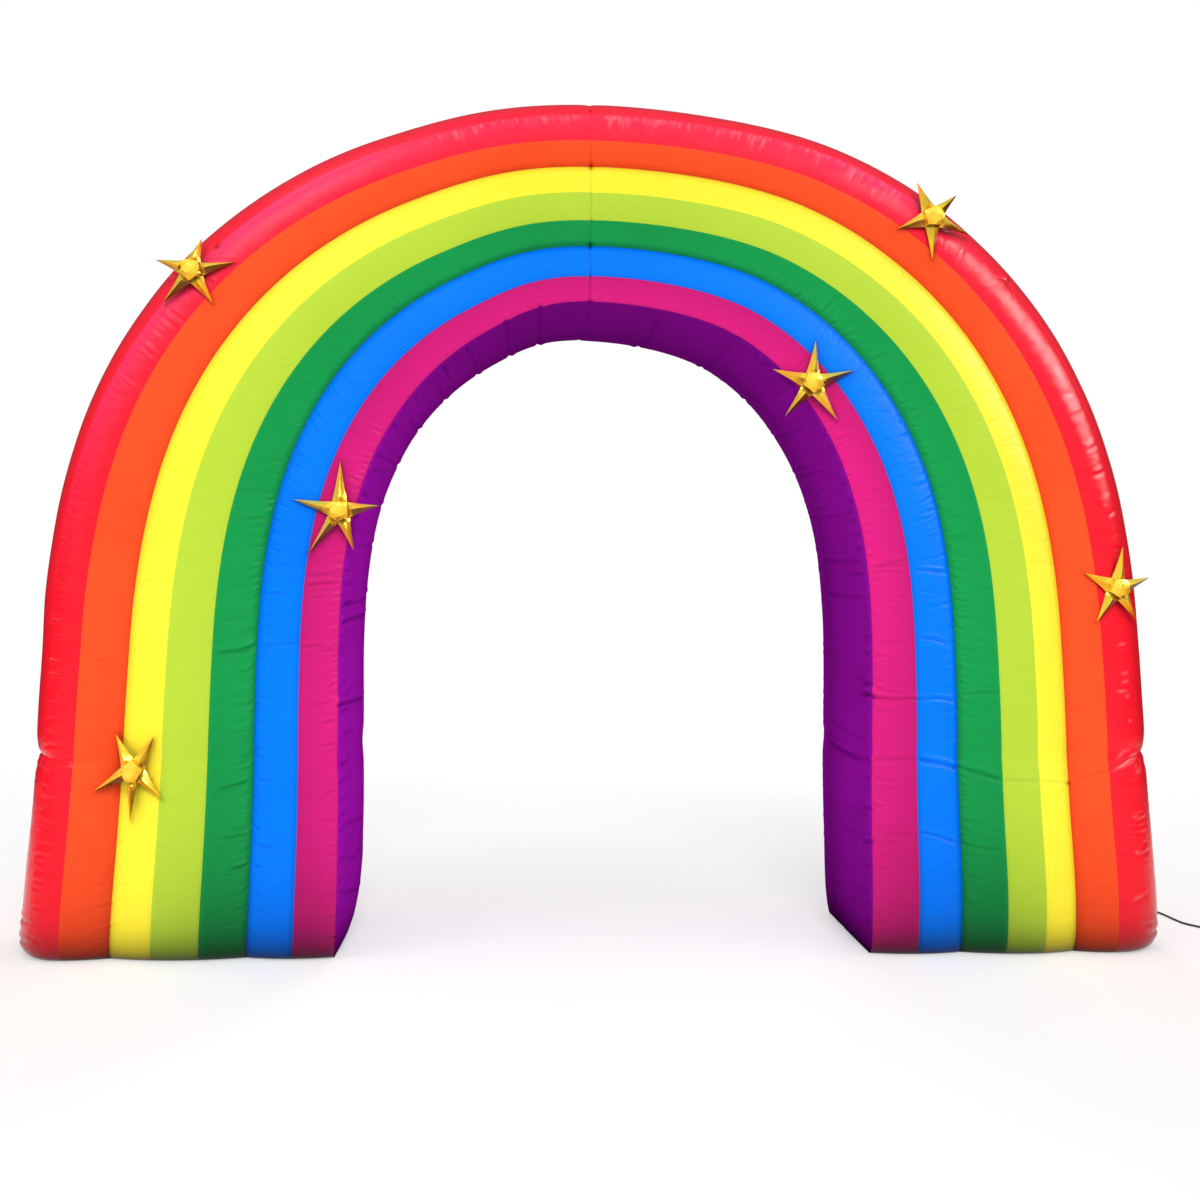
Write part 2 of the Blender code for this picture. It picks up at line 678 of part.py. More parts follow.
def add_plug(finish, metal, parent):
    """The plug lies beside the coil: a moulded body with a tapered tail, and two flat blades."""
    tail_at, way = coil_tangent(PLUG_ANGLE, COIL_OUTER + PLUG_TAIL_RADIUS + GAP, PLUG_AXIS_HEIGHT)
    heading = Matrix.Translation(tail_at) @ way.to_track_quat("Y", "Z").to_matrix().to_4x4()
    rings = []
    for along, half_wide, half_high in PLUG_SECTIONS:
        ring = []
        for k in range(PLUG_SIDES):
            angle = 2 * pi * (k + 0.5) / PLUG_SIDES
            x = half_wide * abs(cos(angle)) ** 0.6 * (1 if cos(angle) > 0 else -1)
            z = half_high * abs(sin(angle)) ** 0.6 * (1 if sin(angle) > 0 else -1)
            ring.append(Vector((x, along, z)))
        rings.append(ring)
    body = add_object("plug_body", skin("plug_body", rings), finish, parent, 40)
    body.matrix_basis = heading
    front = PLUG_SECTIONS[-1][0]
    for name, sideways in (("plug_blade_left", -BLADE_APART / 2), ("plug_blade_right", BLADE_APART / 2)):
        blade = add_object(name, box_mesh(name, BLADE_SIZE, 0.0004), metal, parent)
        blade.matrix_basis = heading @ Matrix.Translation((sideways, front + GAP + BLADE_SIZE[1] / 2, 0))


# ------------------------------------------------------------------ the whole
def clear_scene():
    for old in list(bpy.data.objects):
        bpy.data.objects.remove(old, do_unlink=True)


def main():
    clear_scene()
    arch = bpy.data.objects.new("arch", None)
    bpy.context.scene.collection.objects.link(arch)
    halves = (("left", -1), ("right", 1))
    bands = {}
    for number, band in enumerate(BANDS):
        finish = material(band.name + "_cloth", band.colour, 0.42)
        for word, side in halves:
            name = f"{band.name}_{word}"
            bands[name] = add_object(name, band_mesh(number, side), finish, arch, 40)
    cut_pocket(bands["orange_right"], arch)

    corners, faces = [], []
    for band in bands.values():
        first = len(corners)
        corners += [v.co.copy() for v in band.data.vertices]
        faces += [tuple(first + i for i in p.vertices) for p in band.data.polygons]
    cloth = BVHTree.FromPolygons(corners, faces)
    front_points = [c for c in corners if c.y < FRONT + SEAMS[1].set_back + GAP]
    foil = material("gold_foil", (236, 170, 20), 0.22, metallic=1.0)
    for star in STARS:
        add_star(star, foil, cloth, front_points, arch)

    housing_finish = material("housing_plastic", (40, 40, 43), 0.5)
    guard_finish = material("guard_plastic", (22, 22, 24), 0.45)
    add_blower(housing_finish, guard_finish, arch)
    lead_finish = material("lead_rubber", (44, 45, 48), 0.5)
    add_lead(lead_finish, arch)
    add_coil(lead_finish, arch)
    add_plug(lead_finish, material("blade_brass", (205, 190, 150), 0.3, metallic=1.0), arch)


main()
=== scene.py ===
"""Looks of the inflatable rainbow arch: cloth bands under air pressure, foil stars, blower and lead.

Metres, +Z up. The arch faces -Y and stands on z = 0. The sizes repeat those of the CAD source.
"""

from collections import namedtuple
from math import ceil, cos, pi, radians, sin, sqrt

import bmesh
import bpy
import numpy as np
from mathutils import Matrix, Vector


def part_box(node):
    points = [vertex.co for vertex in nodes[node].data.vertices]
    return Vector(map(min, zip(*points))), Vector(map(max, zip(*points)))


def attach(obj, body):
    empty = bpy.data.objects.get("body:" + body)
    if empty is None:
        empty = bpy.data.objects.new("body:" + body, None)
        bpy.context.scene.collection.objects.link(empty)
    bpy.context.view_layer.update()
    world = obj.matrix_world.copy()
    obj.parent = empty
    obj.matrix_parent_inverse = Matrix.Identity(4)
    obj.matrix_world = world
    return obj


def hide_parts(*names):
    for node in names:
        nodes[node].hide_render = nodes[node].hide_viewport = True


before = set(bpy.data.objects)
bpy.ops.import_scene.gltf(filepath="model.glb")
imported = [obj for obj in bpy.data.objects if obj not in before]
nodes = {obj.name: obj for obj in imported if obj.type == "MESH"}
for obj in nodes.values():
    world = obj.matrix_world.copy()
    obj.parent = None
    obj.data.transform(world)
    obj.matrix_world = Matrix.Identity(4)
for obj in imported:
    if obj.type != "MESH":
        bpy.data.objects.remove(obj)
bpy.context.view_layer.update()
scene = bpy.context.scene

# ------------------------------------------------------------------ sizes, as in the CAD source
GAP = 0.0003
FRONT = -0.284
DEPTH = 0.59
MIDDLE = FRONT + DEPTH / 2

Seam = namedtuple("Seam", "foot right_leg crown set_back")
SEAMS = (
    Seam(foot=1.514, right_leg=-0.004, crown=2.216, set_back=0.000),   # outside of the rim
    Seam(foot=1.368, right_leg=-0.030, crown=2.073, set_back=-0.020),  # red to orange
    Seam(foot=1.250, right_leg=-0.015, crown=2.012, set_back=0.006),   # orange to yellow, chambers meet
    Seam(foot=1.143, right_leg=0.002, crown=1.942, set_back=-0.024),   # yellow to lime
    Seam(foot=1.024, right_leg=0.019, crown=1.872, set_back=-0.025),   # lime to green
    Seam(foot=0.910, right_leg=0.022, crown=1.812, set_back=0.004),    # green to blue, chambers meet
    Seam(foot=0.791, right_leg=0.020, crown=1.732, set_back=-0.020),   # blue to magenta
    Seam(foot=0.688, right_leg=0.004, crown=1.670, set_back=0.000),    # magenta to the underside
)
CROWN_DEPTH = 0.65
LAST = len(SEAMS) - 1
LEAN = 0.393
FLARE = (0.277, 0.262)
FLARE_HEIGHT = 0.5
SHOULDER = (1.60, 1.75)
ROUNDING = (2.105, 2.060)

Sway = namedtuple("Sway", "side position spread amount seams")
SWAYS = (
    Sway(side=1, position=0.22, spread=0.20, amount=0.010, seams=50),
    Sway(side=1, position=0.80, spread=0.22, amount=-0.005, seams=50),
    Sway(side=1, position=1.75, spread=0.20, amount=0.004, seams=50),
    Sway(side=-1, position=0.22, spread=0.20, amount=0.006, seams=50),
    Sway(side=-1, position=0.74, spread=0.20, amount=-0.003, seams=50),
    Sway(side=-1, position=1.22, spread=0.22, amount=0.003, seams=50),
    Sway(side=-1, position=1.75, spread=0.20, amount=-0.003, seams=50),
    Sway(side=-1, position=1.22, spread=0.40, amount=0.014, seams=2),
)
TOP_POSITION = 2.1
SPRING = 0.90
CROWN_SEAM = -0.052          # x of the seam where the two halves meet
CROWN_SEAM_FROM = 1.753      # position above which the cloth is cut to suit it

Band = namedtuple("Band", "name lobe")
BANDS = (
    Band("red", 0.0000),
    Band("orange", 0.0065),
    Band("yellow", 0.0040),
    Band("lime", 0.0040),
    Band("green", 0.0040),
    Band("blue", 0.0060),
    Band("magenta", 0.0050),
    Band("purple", 0.0300),
)
RIM_POWER = 2.6
UNDERSIDE_SEAM = 0.67
UNDERSIDE_SEAM_DIP = 0.007
UNDERSIDE_SEAM_WIDTH = 0.045
TUCK_HEIGHT = 0.20
TUCK_FRONT = 0.070
TUCK_BACK = 0.040
CORNER = 0.050


# ------------------------------------------------------------------ camera
CAMERA_AT = (-0.2603, -4.0734, 0.9575)
CAMERA_YAW = 0.063           # radians to the right of +Y,
CAMERA_PITCH = -0.0105       # up from level,
CAMERA_ROLL = 0.0076         # and anticlockwise
SENSOR_WIDTH = 36.0          # millimetres
LENS = 45.0


def add_camera():
    yaw, pitch, roll = CAMERA_YAW, CAMERA_PITCH, CAMERA_ROLL
    ahead = Vector((sin(yaw) * cos(pitch), cos(yaw) * cos(pitch), sin(pitch)))
    painted_brightness = Vector((cos(yaw), -sin(yaw), 0.0))
    up = painted_brightness.cross(ahead)
    right = cos(roll) * painted_brightness + sin(roll) * up
    up = cos(roll) * up - sin(roll) * painted_brightness
    data = bpy.data.cameras.new("camera")
    data.sensor_width = SENSOR_WIDTH
    data.lens = LENS
    made = bpy.data.objects.new("camera", data)
    scene.collection.objects.link(made)
    turned = Matrix((right, up, -ahead)).transposed().to_4x4()
    made.matrix_world = Matrix.Translation(CAMERA_AT) @ turned
    scene.camera = made


# ------------------------------------------------------------------ material helpers
def linear(channel):
    value = channel / 255
    return value / 12.92 if value <= 0.04045 else ((value + 0.055) / 1.055) ** 2.4


def rgb(red, green, blue):
    return (linear(red), linear(green), linear(blue), 1.0)


class Tree:
    """A node tree, with short calls to add and join nodes."""

    def __init__(self, tree):
        self.tree = tree

    def add(self, kind, **settings):
        made = self.tree.nodes.new(kind)
        for key, value in settings.items():
            setattr(made, key, value)
        return made

    def set(self, socket, value):
        if isinstance(value, bpy.types.NodeSocket):
            self.tree.links.new(value, socket)
        else:
            socket.default_value = value

    def maths(self, operation, a, b=None, clamp=False):
        made = self.add("ShaderNodeMath", operation=operation, use_clamp=clamp)
        self.set(made.inputs[0], a)
        if b is not None:
            self.set(made.inputs[1], b)
        return made.outputs[0]

    def spread(self, value, low, high, to_low=0.0, to_high=1.0, kind="SMOOTHSTEP"):
        made = self.add("ShaderNodeMapRange", interpolation_type=kind)
        for socket, given in zip(made.inputs, (value, low, high, to_low, to_high)):
            self.set(socket, given)
        return made.outputs[0]

    def split(self, vector):
        made = self.add("ShaderNodeSeparateXYZ")
        self.set(made.inputs[0], vector)
        return made.outputs

    def mix(self, share, a, b, blend="MIX"):
        made = self.add("ShaderNodeMix", data_type="RGBA", blend_type=blend)
        self.set(made.inputs[0], share)
        self.set(made.inputs[6], a)
        self.set(made.inputs[7], b)
        return made.outputs[2]

    def stretched(self, source, scale, turn=0.0):
        made = self.add("ShaderNodeMapping")
        made.inputs["Scale"].default_value = scale
        made.inputs["Rotation"].default_value = (0.0, 0.0, turn)
        self.set(made.inputs["Vector"], source)
        return made.outputs[0]

    def noise(self, vector, scale, detail=2.0, roughness=0.5, distortion=0.0):
        made = self.add("ShaderNodeTexNoise")
        self.set(made.inputs["Vector"], vector)
        made.inputs["Scale"].default_value = scale
        made.inputs["Detail"].default_value = detail
        made.inputs["Roughness"].default_value = roughness
        made.inputs["Distortion"].default_value = distortion
        return made.outputs["Fac"]

    def threads(self, vector, direction):
        """Fine, even threads of the weave that lie in one direction."""
        made = self.add("ShaderNodeTexWave", wave_type="BANDS", bands_direction=direction)
        self.set(made.inputs["Vector"], vector)
        made.inputs["Scale"].default_value = 330.0
        made.inputs["Distortion"].default_value = 0.4
        return made.outputs["Fac"]

    def bump(self, height, distance, before=None):
        made = self.add("ShaderNodeBump")
        made.inputs["Strength"].default_value = 1.0
        made.inputs["Distance"].default_value = distance
        self.set(made.inputs["Height"], height)
        if before is not None:
            self.set(made.inputs["Normal"], before)
        return made.outputs[0]

    def attribute(self, name):
        made = self.add("ShaderNodeAttribute", attribute_name=name)
        return made.outputs["Fac"]

    def coordinates(self, kind="Object"):
        return self.add("ShaderNodeTexCoord").outputs[kind]


class Finish(Tree):
    """A material with its own node tree."""

    def __init__(self, name):
        self.material = bpy.data.materials.new(name)
        self.material.use_nodes = True
        super().__init__(self.material.node_tree)
        self.shader = self.tree.nodes["Principled BSDF"]
        self.output = self.tree.nodes["Material Output"]

    def shade(self, **values):
        """Sets the shader's sockets, whose names are given with _ for spaces."""
        for key, value in values.items():
            self.set(self.shader.inputs[key.replace("_", " ")], value)


# ------------------------------------------------------------------ mains lead
BLOWER = Vector((1.2675, FRONT + DEPTH + 0.0157, 0.215))
BLOWER_TURN = -13.0
BLOWER_LIP = 0.053
LIP_TOP = 0.0150
RELIEF_ANGLE = 35.0
RELIEF_LENGTH = 0.035
LEAD_RADIUS = 0.003
LEAD_SPACING = 0.015
ROUTE_STEPS = 16             # steps between two points of the route
LEAD_ROUTE = (
    (1.350, 0.348, 0.092),
    (1.379, 0.359, 0.052),
    (1.410, 0.371, 0.019),
    (1.446, 0.380, 0.0046),
    (1.488, 0.381, 0.0032),
    (1.533, 0.372, 0.0032),
    (1.577, 0.350, 0.0032),
    (1.617, 0.316, 0.0032),
    (1.648, 0.272, 0.0032),
    (1.665, 0.224, 0.0032),
    (1.670, 0.174, 0.0032),
    (1.672, 0.124, 0.0032),
    (1.679, 0.077, 0.0032),
    (1.703, 0.035, 0.0032),
    (1.728, 0.003, 0.0032),
)
COIL_CENTRE = Vector((1.790, -0.038, 0.0))
COIL_OUTER = 0.044
COIL_JOINS_AT = 185.0
COIL_STEPS_AT = 300.0        # each turn steps in or out between the two
PLUG_TAIL_RADIUS = 0.0048
PLUG_AXIS_HEIGHT = 0.0098
# The coil's turns, in order: the radius that the lead steps to, and its height there.
Turn = namedtuple("Turn", "radius height")
TURNS = (
    Turn(0.04124, 0.0032),
    Turn(0.03520, 0.0032),
    Turn(0.02916, 0.0032),
    Turn(0.02312, 0.0032),
    Turn(0.02916, 0.0093),
    Turn(0.03520, 0.0093),
    Turn(0.04124, 0.0093),
    Turn(COIL_OUTER + PLUG_TAIL_RADIUS + GAP, PLUG_AXIS_HEIGHT),
)
RISES_ON = 3                 # the turn on which the lead climbs to the upper layer
RISE = (345.0, 480.0)        # degrees between which it climbs
COIL_STEP = 15.0


def blower_matrix():
    turn = radians(BLOWER_TURN)
    out = Vector((sin(turn), cos(turn), 0.0))
    up = Vector((0, 0, 1))
    return Matrix.Translation(BLOWER) @ Matrix((up.cross(out), up, out)).transposed().to_4x4()


def relief_axis():
    angle = radians(RELIEF_ANGLE)
    along = Vector((-sin(angle), -cos(angle), 0.0))
    start = along * (BLOWER_LIP + GAP) + Vector((0, 0, LIP_TOP / 2))
    return start, along


def smooth_route(points, spacing):
    """Evenly spaced points on one smooth curve through the route's own points."""
    ends = [points[0] * 2 - points[1]] + points + [points[-1] * 2 - points[-2]]
    fine = []
    for p0, p1, p2, p3 in zip(ends, ends[1:], ends[2:], ends[3:]):
        for step in range(ROUTE_STEPS):
            t = step / ROUTE_STEPS
            fine.append(0.5 * (
                2 * p1 + (p2 - p0) * t + (2 * p0 - 5 * p1 + 4 * p2 - p3) * t * t
                + (3 * p1 - p0 - 3 * p2 + p3) * t * t * t
            ))
    fine.append(points[-1])
    total = sum((b - a).length for a, b in zip(fine, fine[1:]))
    count = ceil(total / spacing)
    placed_at, walked, wanted = [fine[0]], 0.0, total / count
    for a, b in zip(fine, fine[1:]):
        length = (b - a).length
        while wanted <= walked + length + 1e-9 and len(placed_at) < count:
            placed_at.append(a.lerp(b, (wanted - walked) / length))
            wanted += total / count
        walked += length
    return placed_at + [fine[-1]]


def eased(share):
    share = min(max(share, 0.0), 1.0)
    return share * share * (3 - 2 * share)


def coil_point(radius, degrees, height):
    angle = radians(degrees)
    return COIL_CENTRE + Vector((radius * cos(angle), radius * sin(angle), height))


def coil_points():
    """The wound turns: two layers, the lower one wound inwards and the upper one out to the plug."""
    points = []
    radius_before = COIL_OUTER + LEAD_RADIUS + GAP
    height_before = TURNS[0].height
    for number, turn in enumerate(TURNS):
        stop = COIL_STEPS_AT if number == len(TURNS) - 1 else COIL_JOINS_AT + 360.0
        angle = COIL_JOINS_AT
        while angle < stop - 1e-6:
            step = eased((angle - COIL_JOINS_AT) / (COIL_STEPS_AT - COIL_JOINS_AT))
            radius = radius_before + (turn.radius - radius_before) * step
            height = height_before + (turn.height - height_before) * step
            if number == RISES_ON:
                share = (angle - RISE[0]) / (RISE[1] - RISE[0])
                height += (TURNS[number + 1].height - turn.height) * eased(share)
            points.append(coil_point(radius, angle, height))
            angle += COIL_STEP
        radius_before = turn.radius
        height_before = turn.height
        if number == RISES_ON:
            height_before = TURNS[number + 1].height
    return points + [coil_point(TURNS[-1].radius, COIL_STEPS_AT, TURNS[-1].height)]


def lead_material():
    made = Finish("lead_rubber")
    where = made.coordinates()
    mottle = made.noise(where, 60.0, 3.0, 0.6)
    dust = made.spread(made.noise(where, 9.0, 2.0, 0.5), 0.45, 0.8)
    colour = made.mix(mottle, rgb(44, 45, 49), rgb(60, 61, 65))
    colour = made.mix(made.maths("MULTIPLY", dust, 0.25), colour, rgb(104, 104, 106))
    made.shade(
        Base_Color=colour,
        Roughness=made.spread(mottle, 0.2, 0.8, 0.42, 0.58),
        Normal=made.bump(made.noise(where, 900.0, 2.0, 0.6), 0.0002),
    )
    return made.material


def add_lead(finish):
    start, along = relief_axis()
    place = blower_matrix()
    leaves = place @ (start + along * (RELIEF_LENGTH + GAP))
    straight = place @ (start + along * (RELIEF_LENGTH + GAP + 6 * LEAD_RADIUS))
    turn = radians(COIL_JOINS_AT)
    joins = coil_point(COIL_OUTER + LEAD_RADIUS + GAP, COIL_JOINS_AT, TURNS[0].height)
    way = Vector((-sin(turn), cos(turn), 0.0))
    route = [leaves, straight] + [Vector(p) for p in LEAD_ROUTE] + [joins - way * 0.02, joins]
    points = smooth_route(route, LEAD_SPACING)[:-1] + coil_points()
    curve = bpy.data.curves.new("mains_lead_run", "CURVE")
    curve.dimensions = "3D"
    curve.bevel_depth = LEAD_RADIUS
    curve.bevel_resolution = 3
    curve.use_fill_caps = True
    line = curve.splines.new("POLY")
    line.points.add(len(points) - 1)
    for spot, point in zip(line.points, points):
        spot.co = (*point, 1.0)
    line.use_smooth = True
    curve.materials.append(finish)
    made = bpy.data.objects.new("mains_lead_run", curve)
    scene.collection.objects.link(made)
    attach(made, "root")
    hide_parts("mains_lead", "lead_coil")


# ------------------------------------------------------------------ the arch's own shape
def between(low, high, share):
    return low + (high - low) * share


def smooth(value, low, high):
    share = np.clip((value - low) / (high - low), 0.0, 1.0)
    return share * share * (3 - 2 * share)


def within(value, rise, fall):
    """1 between two edges, which are soft: it rises over the first pair and falls over the second."""
    return smooth(value, *rise) * (1 - smooth(value, *fall))


def fan_angle(position):
    return np.clip((position - SPRING) / (TOP_POSITION - SPRING), 0.0, 1.0) * (pi / 2)


def outward(position):
    angle = fan_angle(position)
    return np.stack([np.cos(angle), np.sin(angle)], -1)


def half_width(index, z, side):
    seam = SEAMS[index]
    share = index / LAST
    foot = seam.foot + (seam.right_leg if side > 0 else 0.0)
    straight = foot + LEAN * z - between(*FLARE, share) * (1 - np.exp(-z / FLARE_HEIGHT))
    rise = np.clip(z / seam.crown, 0.0, 1.0)
    width = straight * (1 - rise ** between(*SHOULDER, share)) ** (1 / between(*ROUNDING, share))
    if index == 0:
        low = np.clip(1 - z / CORNER, 0.0, 1.0)
        width = width - CORNER * (1 - np.sqrt(1 - low ** 2))
    return width


def sway(index, position, side):
    total = np.zeros_like(position)
    for row in SWAYS:
        if row.side == side:
            felt = max(0.0, 1 - index / row.seams)
            total += felt * row.amount * np.exp(-((position - row.position) / row.spread) ** 2)
    return total


HALVINGS = 44                # enough to find a seam's width to rounding error


def seam_line(index, position, side):
    """A seam's course in the arch's own plane: x outwards and z for each position."""
    angle = fan_angle(position)
    across, rise = np.cos(angle), np.sin(angle)
    low = np.zeros_like(position)
    high = (SEAMS[index].crown - SPRING) / np.maximum(rise, 1e-4)
    for _ in range(HALVINGS):
        middle = (low + high) / 2
        inside = half_width(index, SPRING + middle * rise, side) > middle * across
        low, high = np.where(inside, middle, low), np.where(inside, high, middle)
    on_fan = np.stack([low * across, SPRING + low * rise], -1)
    on_leg = np.stack([half_width(index, np.minimum(position, SPRING), side), position], -1)
    flat = np.where((position <= SPRING)[:, None], on_leg, on_fan)
    return flat + outward(position) * sway(index, position, side)[:, None]


def relief(position):
    return between(1.0, CROWN_DEPTH, np.sin(fan_angle(position)) ** 2)


def tucked(y, position):
    low = np.clip(1 - position / TUCK_HEIGHT, 0.0, 1.0)
    under = 1 - np.sqrt(1 - low ** 2)
    from_middle = (y - MIDDLE) / (DEPTH / 2)
    return y - from_middle * under * np.where(from_middle < 0, TUCK_FRONT, TUCK_BACK)


# The section is one closed loop of columns. Its coordinate q counts the bands round it: the back part
# of the rim from -2, the outer gusset from -1, the front part of the rim from 0, the front bands from
# 1 (orange) to 7, the underside from 7 to 8, and the back bands from 8 (magenta) to 14.
RIM_SEAM_ANGLE = 57.0        # degrees round the rim from its middle
RIM_REACH = 0.146            # how far the rim stands out, and half its width: its usual section
RIM_HALF_WIDTH = 0.315
RIM_COLUMNS = (9, 34, 22)    # on the rim's back part, its gusset and its front part
RIM_SAMPLES = 4001
RIM_TIGHTER = 0.3            # how much closer together the columns lie beside a seam (0 is evenly)


def rim_angles():
    """Angles round the rim from back to front, and q for each, even along its outline."""
    angle = np.linspace(pi / 2, -pi / 2, RIM_SAMPLES)
    away = RIM_REACH * np.maximum(np.cos(angle), 0.0) ** (2 / RIM_POWER)
    along = RIM_HALF_WIDTH * np.abs(np.sin(angle)) ** (2 / RIM_POWER) * np.sign(angle)
    run = np.concatenate([[0.0], np.cumsum(np.hypot(np.diff(away), np.diff(along)))])
    seams = np.interp([-radians(RIM_SEAM_ANGLE), radians(RIM_SEAM_ANGLE)], angle[::-1], run[::-1])
    stops = (0.0, seams[1], seams[0], run[-1])
    at, q = [], []
    for first, start, stop, count in zip((-2, -1, 0), stops, stops[1:], RIM_COLUMNS):
        share = np.linspace(0, 1, count + 1)
        share = share - RIM_TIGHTER * np.sin(2 * pi * share) / (2 * pi)
        at.append(between(start, stop, share)[:-1])
        q.append(first + share[:-1])
    at = np.concatenate(at + [[run[-1]]])
    q = np.concatenate(q + [[1.0]])
    return np.interp(at, run, angle), q


BAND_TIGHTER = 0.75


def column_shares(count, tight_start, tight_end):
    """Shares across a band, closer together beside the seams where chambers meet."""
    share = np.linspace(0, 1, count + 1)
    bend = BAND_TIGHTER / (2 * pi)
    if tight_start and tight_end:
        return share - bend * np.sin(2 * pi * share)
    if tight_start:
        return share - bend * 2 * np.sin(pi * share)
    if tight_end:
        return share + bend * 2 * np.sin(pi * share)
    return share


CHAMBER_SEAMS = (2, 5, 7, 8, 10, 13)
FRONT_COLUMNS = 15
BACK_COLUMNS = 8
UNDERSIDE_COLUMNS = 40
UNDERSIDE_POWER = 0.8        # of the underside's fullness across it

FOOT_TOP = 0.20              # up to here the rings lie closer together towards the floor,
FOOT_TIGHTER = 1.5           # more so with a higher power
FOOT_RINGS = 60
LEG_RINGS = 191
FAN_RINGS = 521


def ring_positions():
    foot = np.linspace(0, 1, FOOT_RINGS) ** FOOT_TIGHTER * FOOT_TOP
    leg = np.linspace(FOOT_TOP, SPRING, LEG_RINGS)[1:]
    fan = np.linspace(SPRING, TOP_POSITION, FAN_RINGS)[1:]
    return np.concatenate([foot, leg, fan])


def aside(p):
    """How far a ring stands to one side, because the crown seam isn't at x = 0."""
    return CROWN_SEAM * smooth(p, CROWN_SEAM_FROM, TOP_POSITION)


def base_shape(side):
    """The whole half as a grid of points, with the position of each ring and q of each column."""
    p = ring_positions()
    out = outward(p)
    lines = [seam_line(k, p, side) for k in range(len(SEAMS))]
    raised = relief(p)
    columns, qs = [], []

    def add(flat, y, q):
        x = np.maximum(flat[:, 0], 0.0)
        columns.append(np.stack([side * x + aside(p), tucked(y, p), flat[:, 1]], -1))
        qs.append(q)

    angles, rim_q = rim_angles()
    foot = lines[1]
    reach = np.linalg.norm(lines[0] - foot, axis=1)
    half = DEPTH / 2 - SEAMS[1].set_back * raised
    for angle, q in zip(angles, rim_q):
        away = reach * max(cos(angle), 0.0) ** (2 / RIM_POWER)
        along = half * abs(sin(angle)) ** (2 / RIM_POWER) * (1 if angle > 0 else -1)
        add(foot + out * away[:, None], MIDDLE + along, q)

    def add_face(first_q, count, numbers, back):
        for number in numbers:
            start = first_q + numbers.index(number)
            ends = (start in CHAMBER_SEAMS, start + 1 in CHAMBER_SEAMS)
            for share in column_shares(count, *ends)[1:]:
                t = 1 - share if back else share
                flat = between(lines[number], lines[number + 1], t)
                set_back = between(SEAMS[number].set_back, SEAMS[number + 1].set_back, t) * raised
                set_back = set_back - BANDS[number].lobe * raised * (1 - (2 * t - 1) ** 2)
                y = FRONT + DEPTH - set_back if back else FRONT + set_back
                add(flat, y, start + share)

    add_face(1, FRONT_COLUMNS, [1, 2, 3, 4, 5, 6], False)
    fill = BANDS[-1].lobe * np.sqrt(np.clip(p / TUCK_HEIGHT, 0.0, 1.0))
    for share in column_shares(UNDERSIDE_COLUMNS, True, True)[1:]:
        crown = fill * max(sin(pi * share), 0.0) ** UNDERSIDE_POWER
        dip = UNDERSIDE_SEAM_DIP * np.exp(-((share - UNDERSIDE_SEAM) / UNDERSIDE_SEAM_WIDTH) ** 2)
        crown = crown - dip * np.clip(crown / UNDERSIDE_SEAM_DIP, 0.0, 1.0)
        add(lines[LAST] - out * crown[:, None], FRONT + DEPTH * share + 0.0 * p, 7 + share)
    add_face(8, BACK_COLUMNS, [6, 5, 4, 3, 2, 1], True)
    points = np.stack(columns[:-1], 1)
    return p, np.array(qs[:-1]), points


def loop_normals(points, side):
    """Normals of the closed loop of columns."""
    along = np.gradient(points, axis=0)
    across = np.roll(points, -1, axis=1) - np.roll(points, 1, axis=1)
    normal = np.cross(along, across) * side
    size = np.linalg.norm(normal, axis=2, keepdims=True)
    return normal / np.maximum(size, 1e-12)


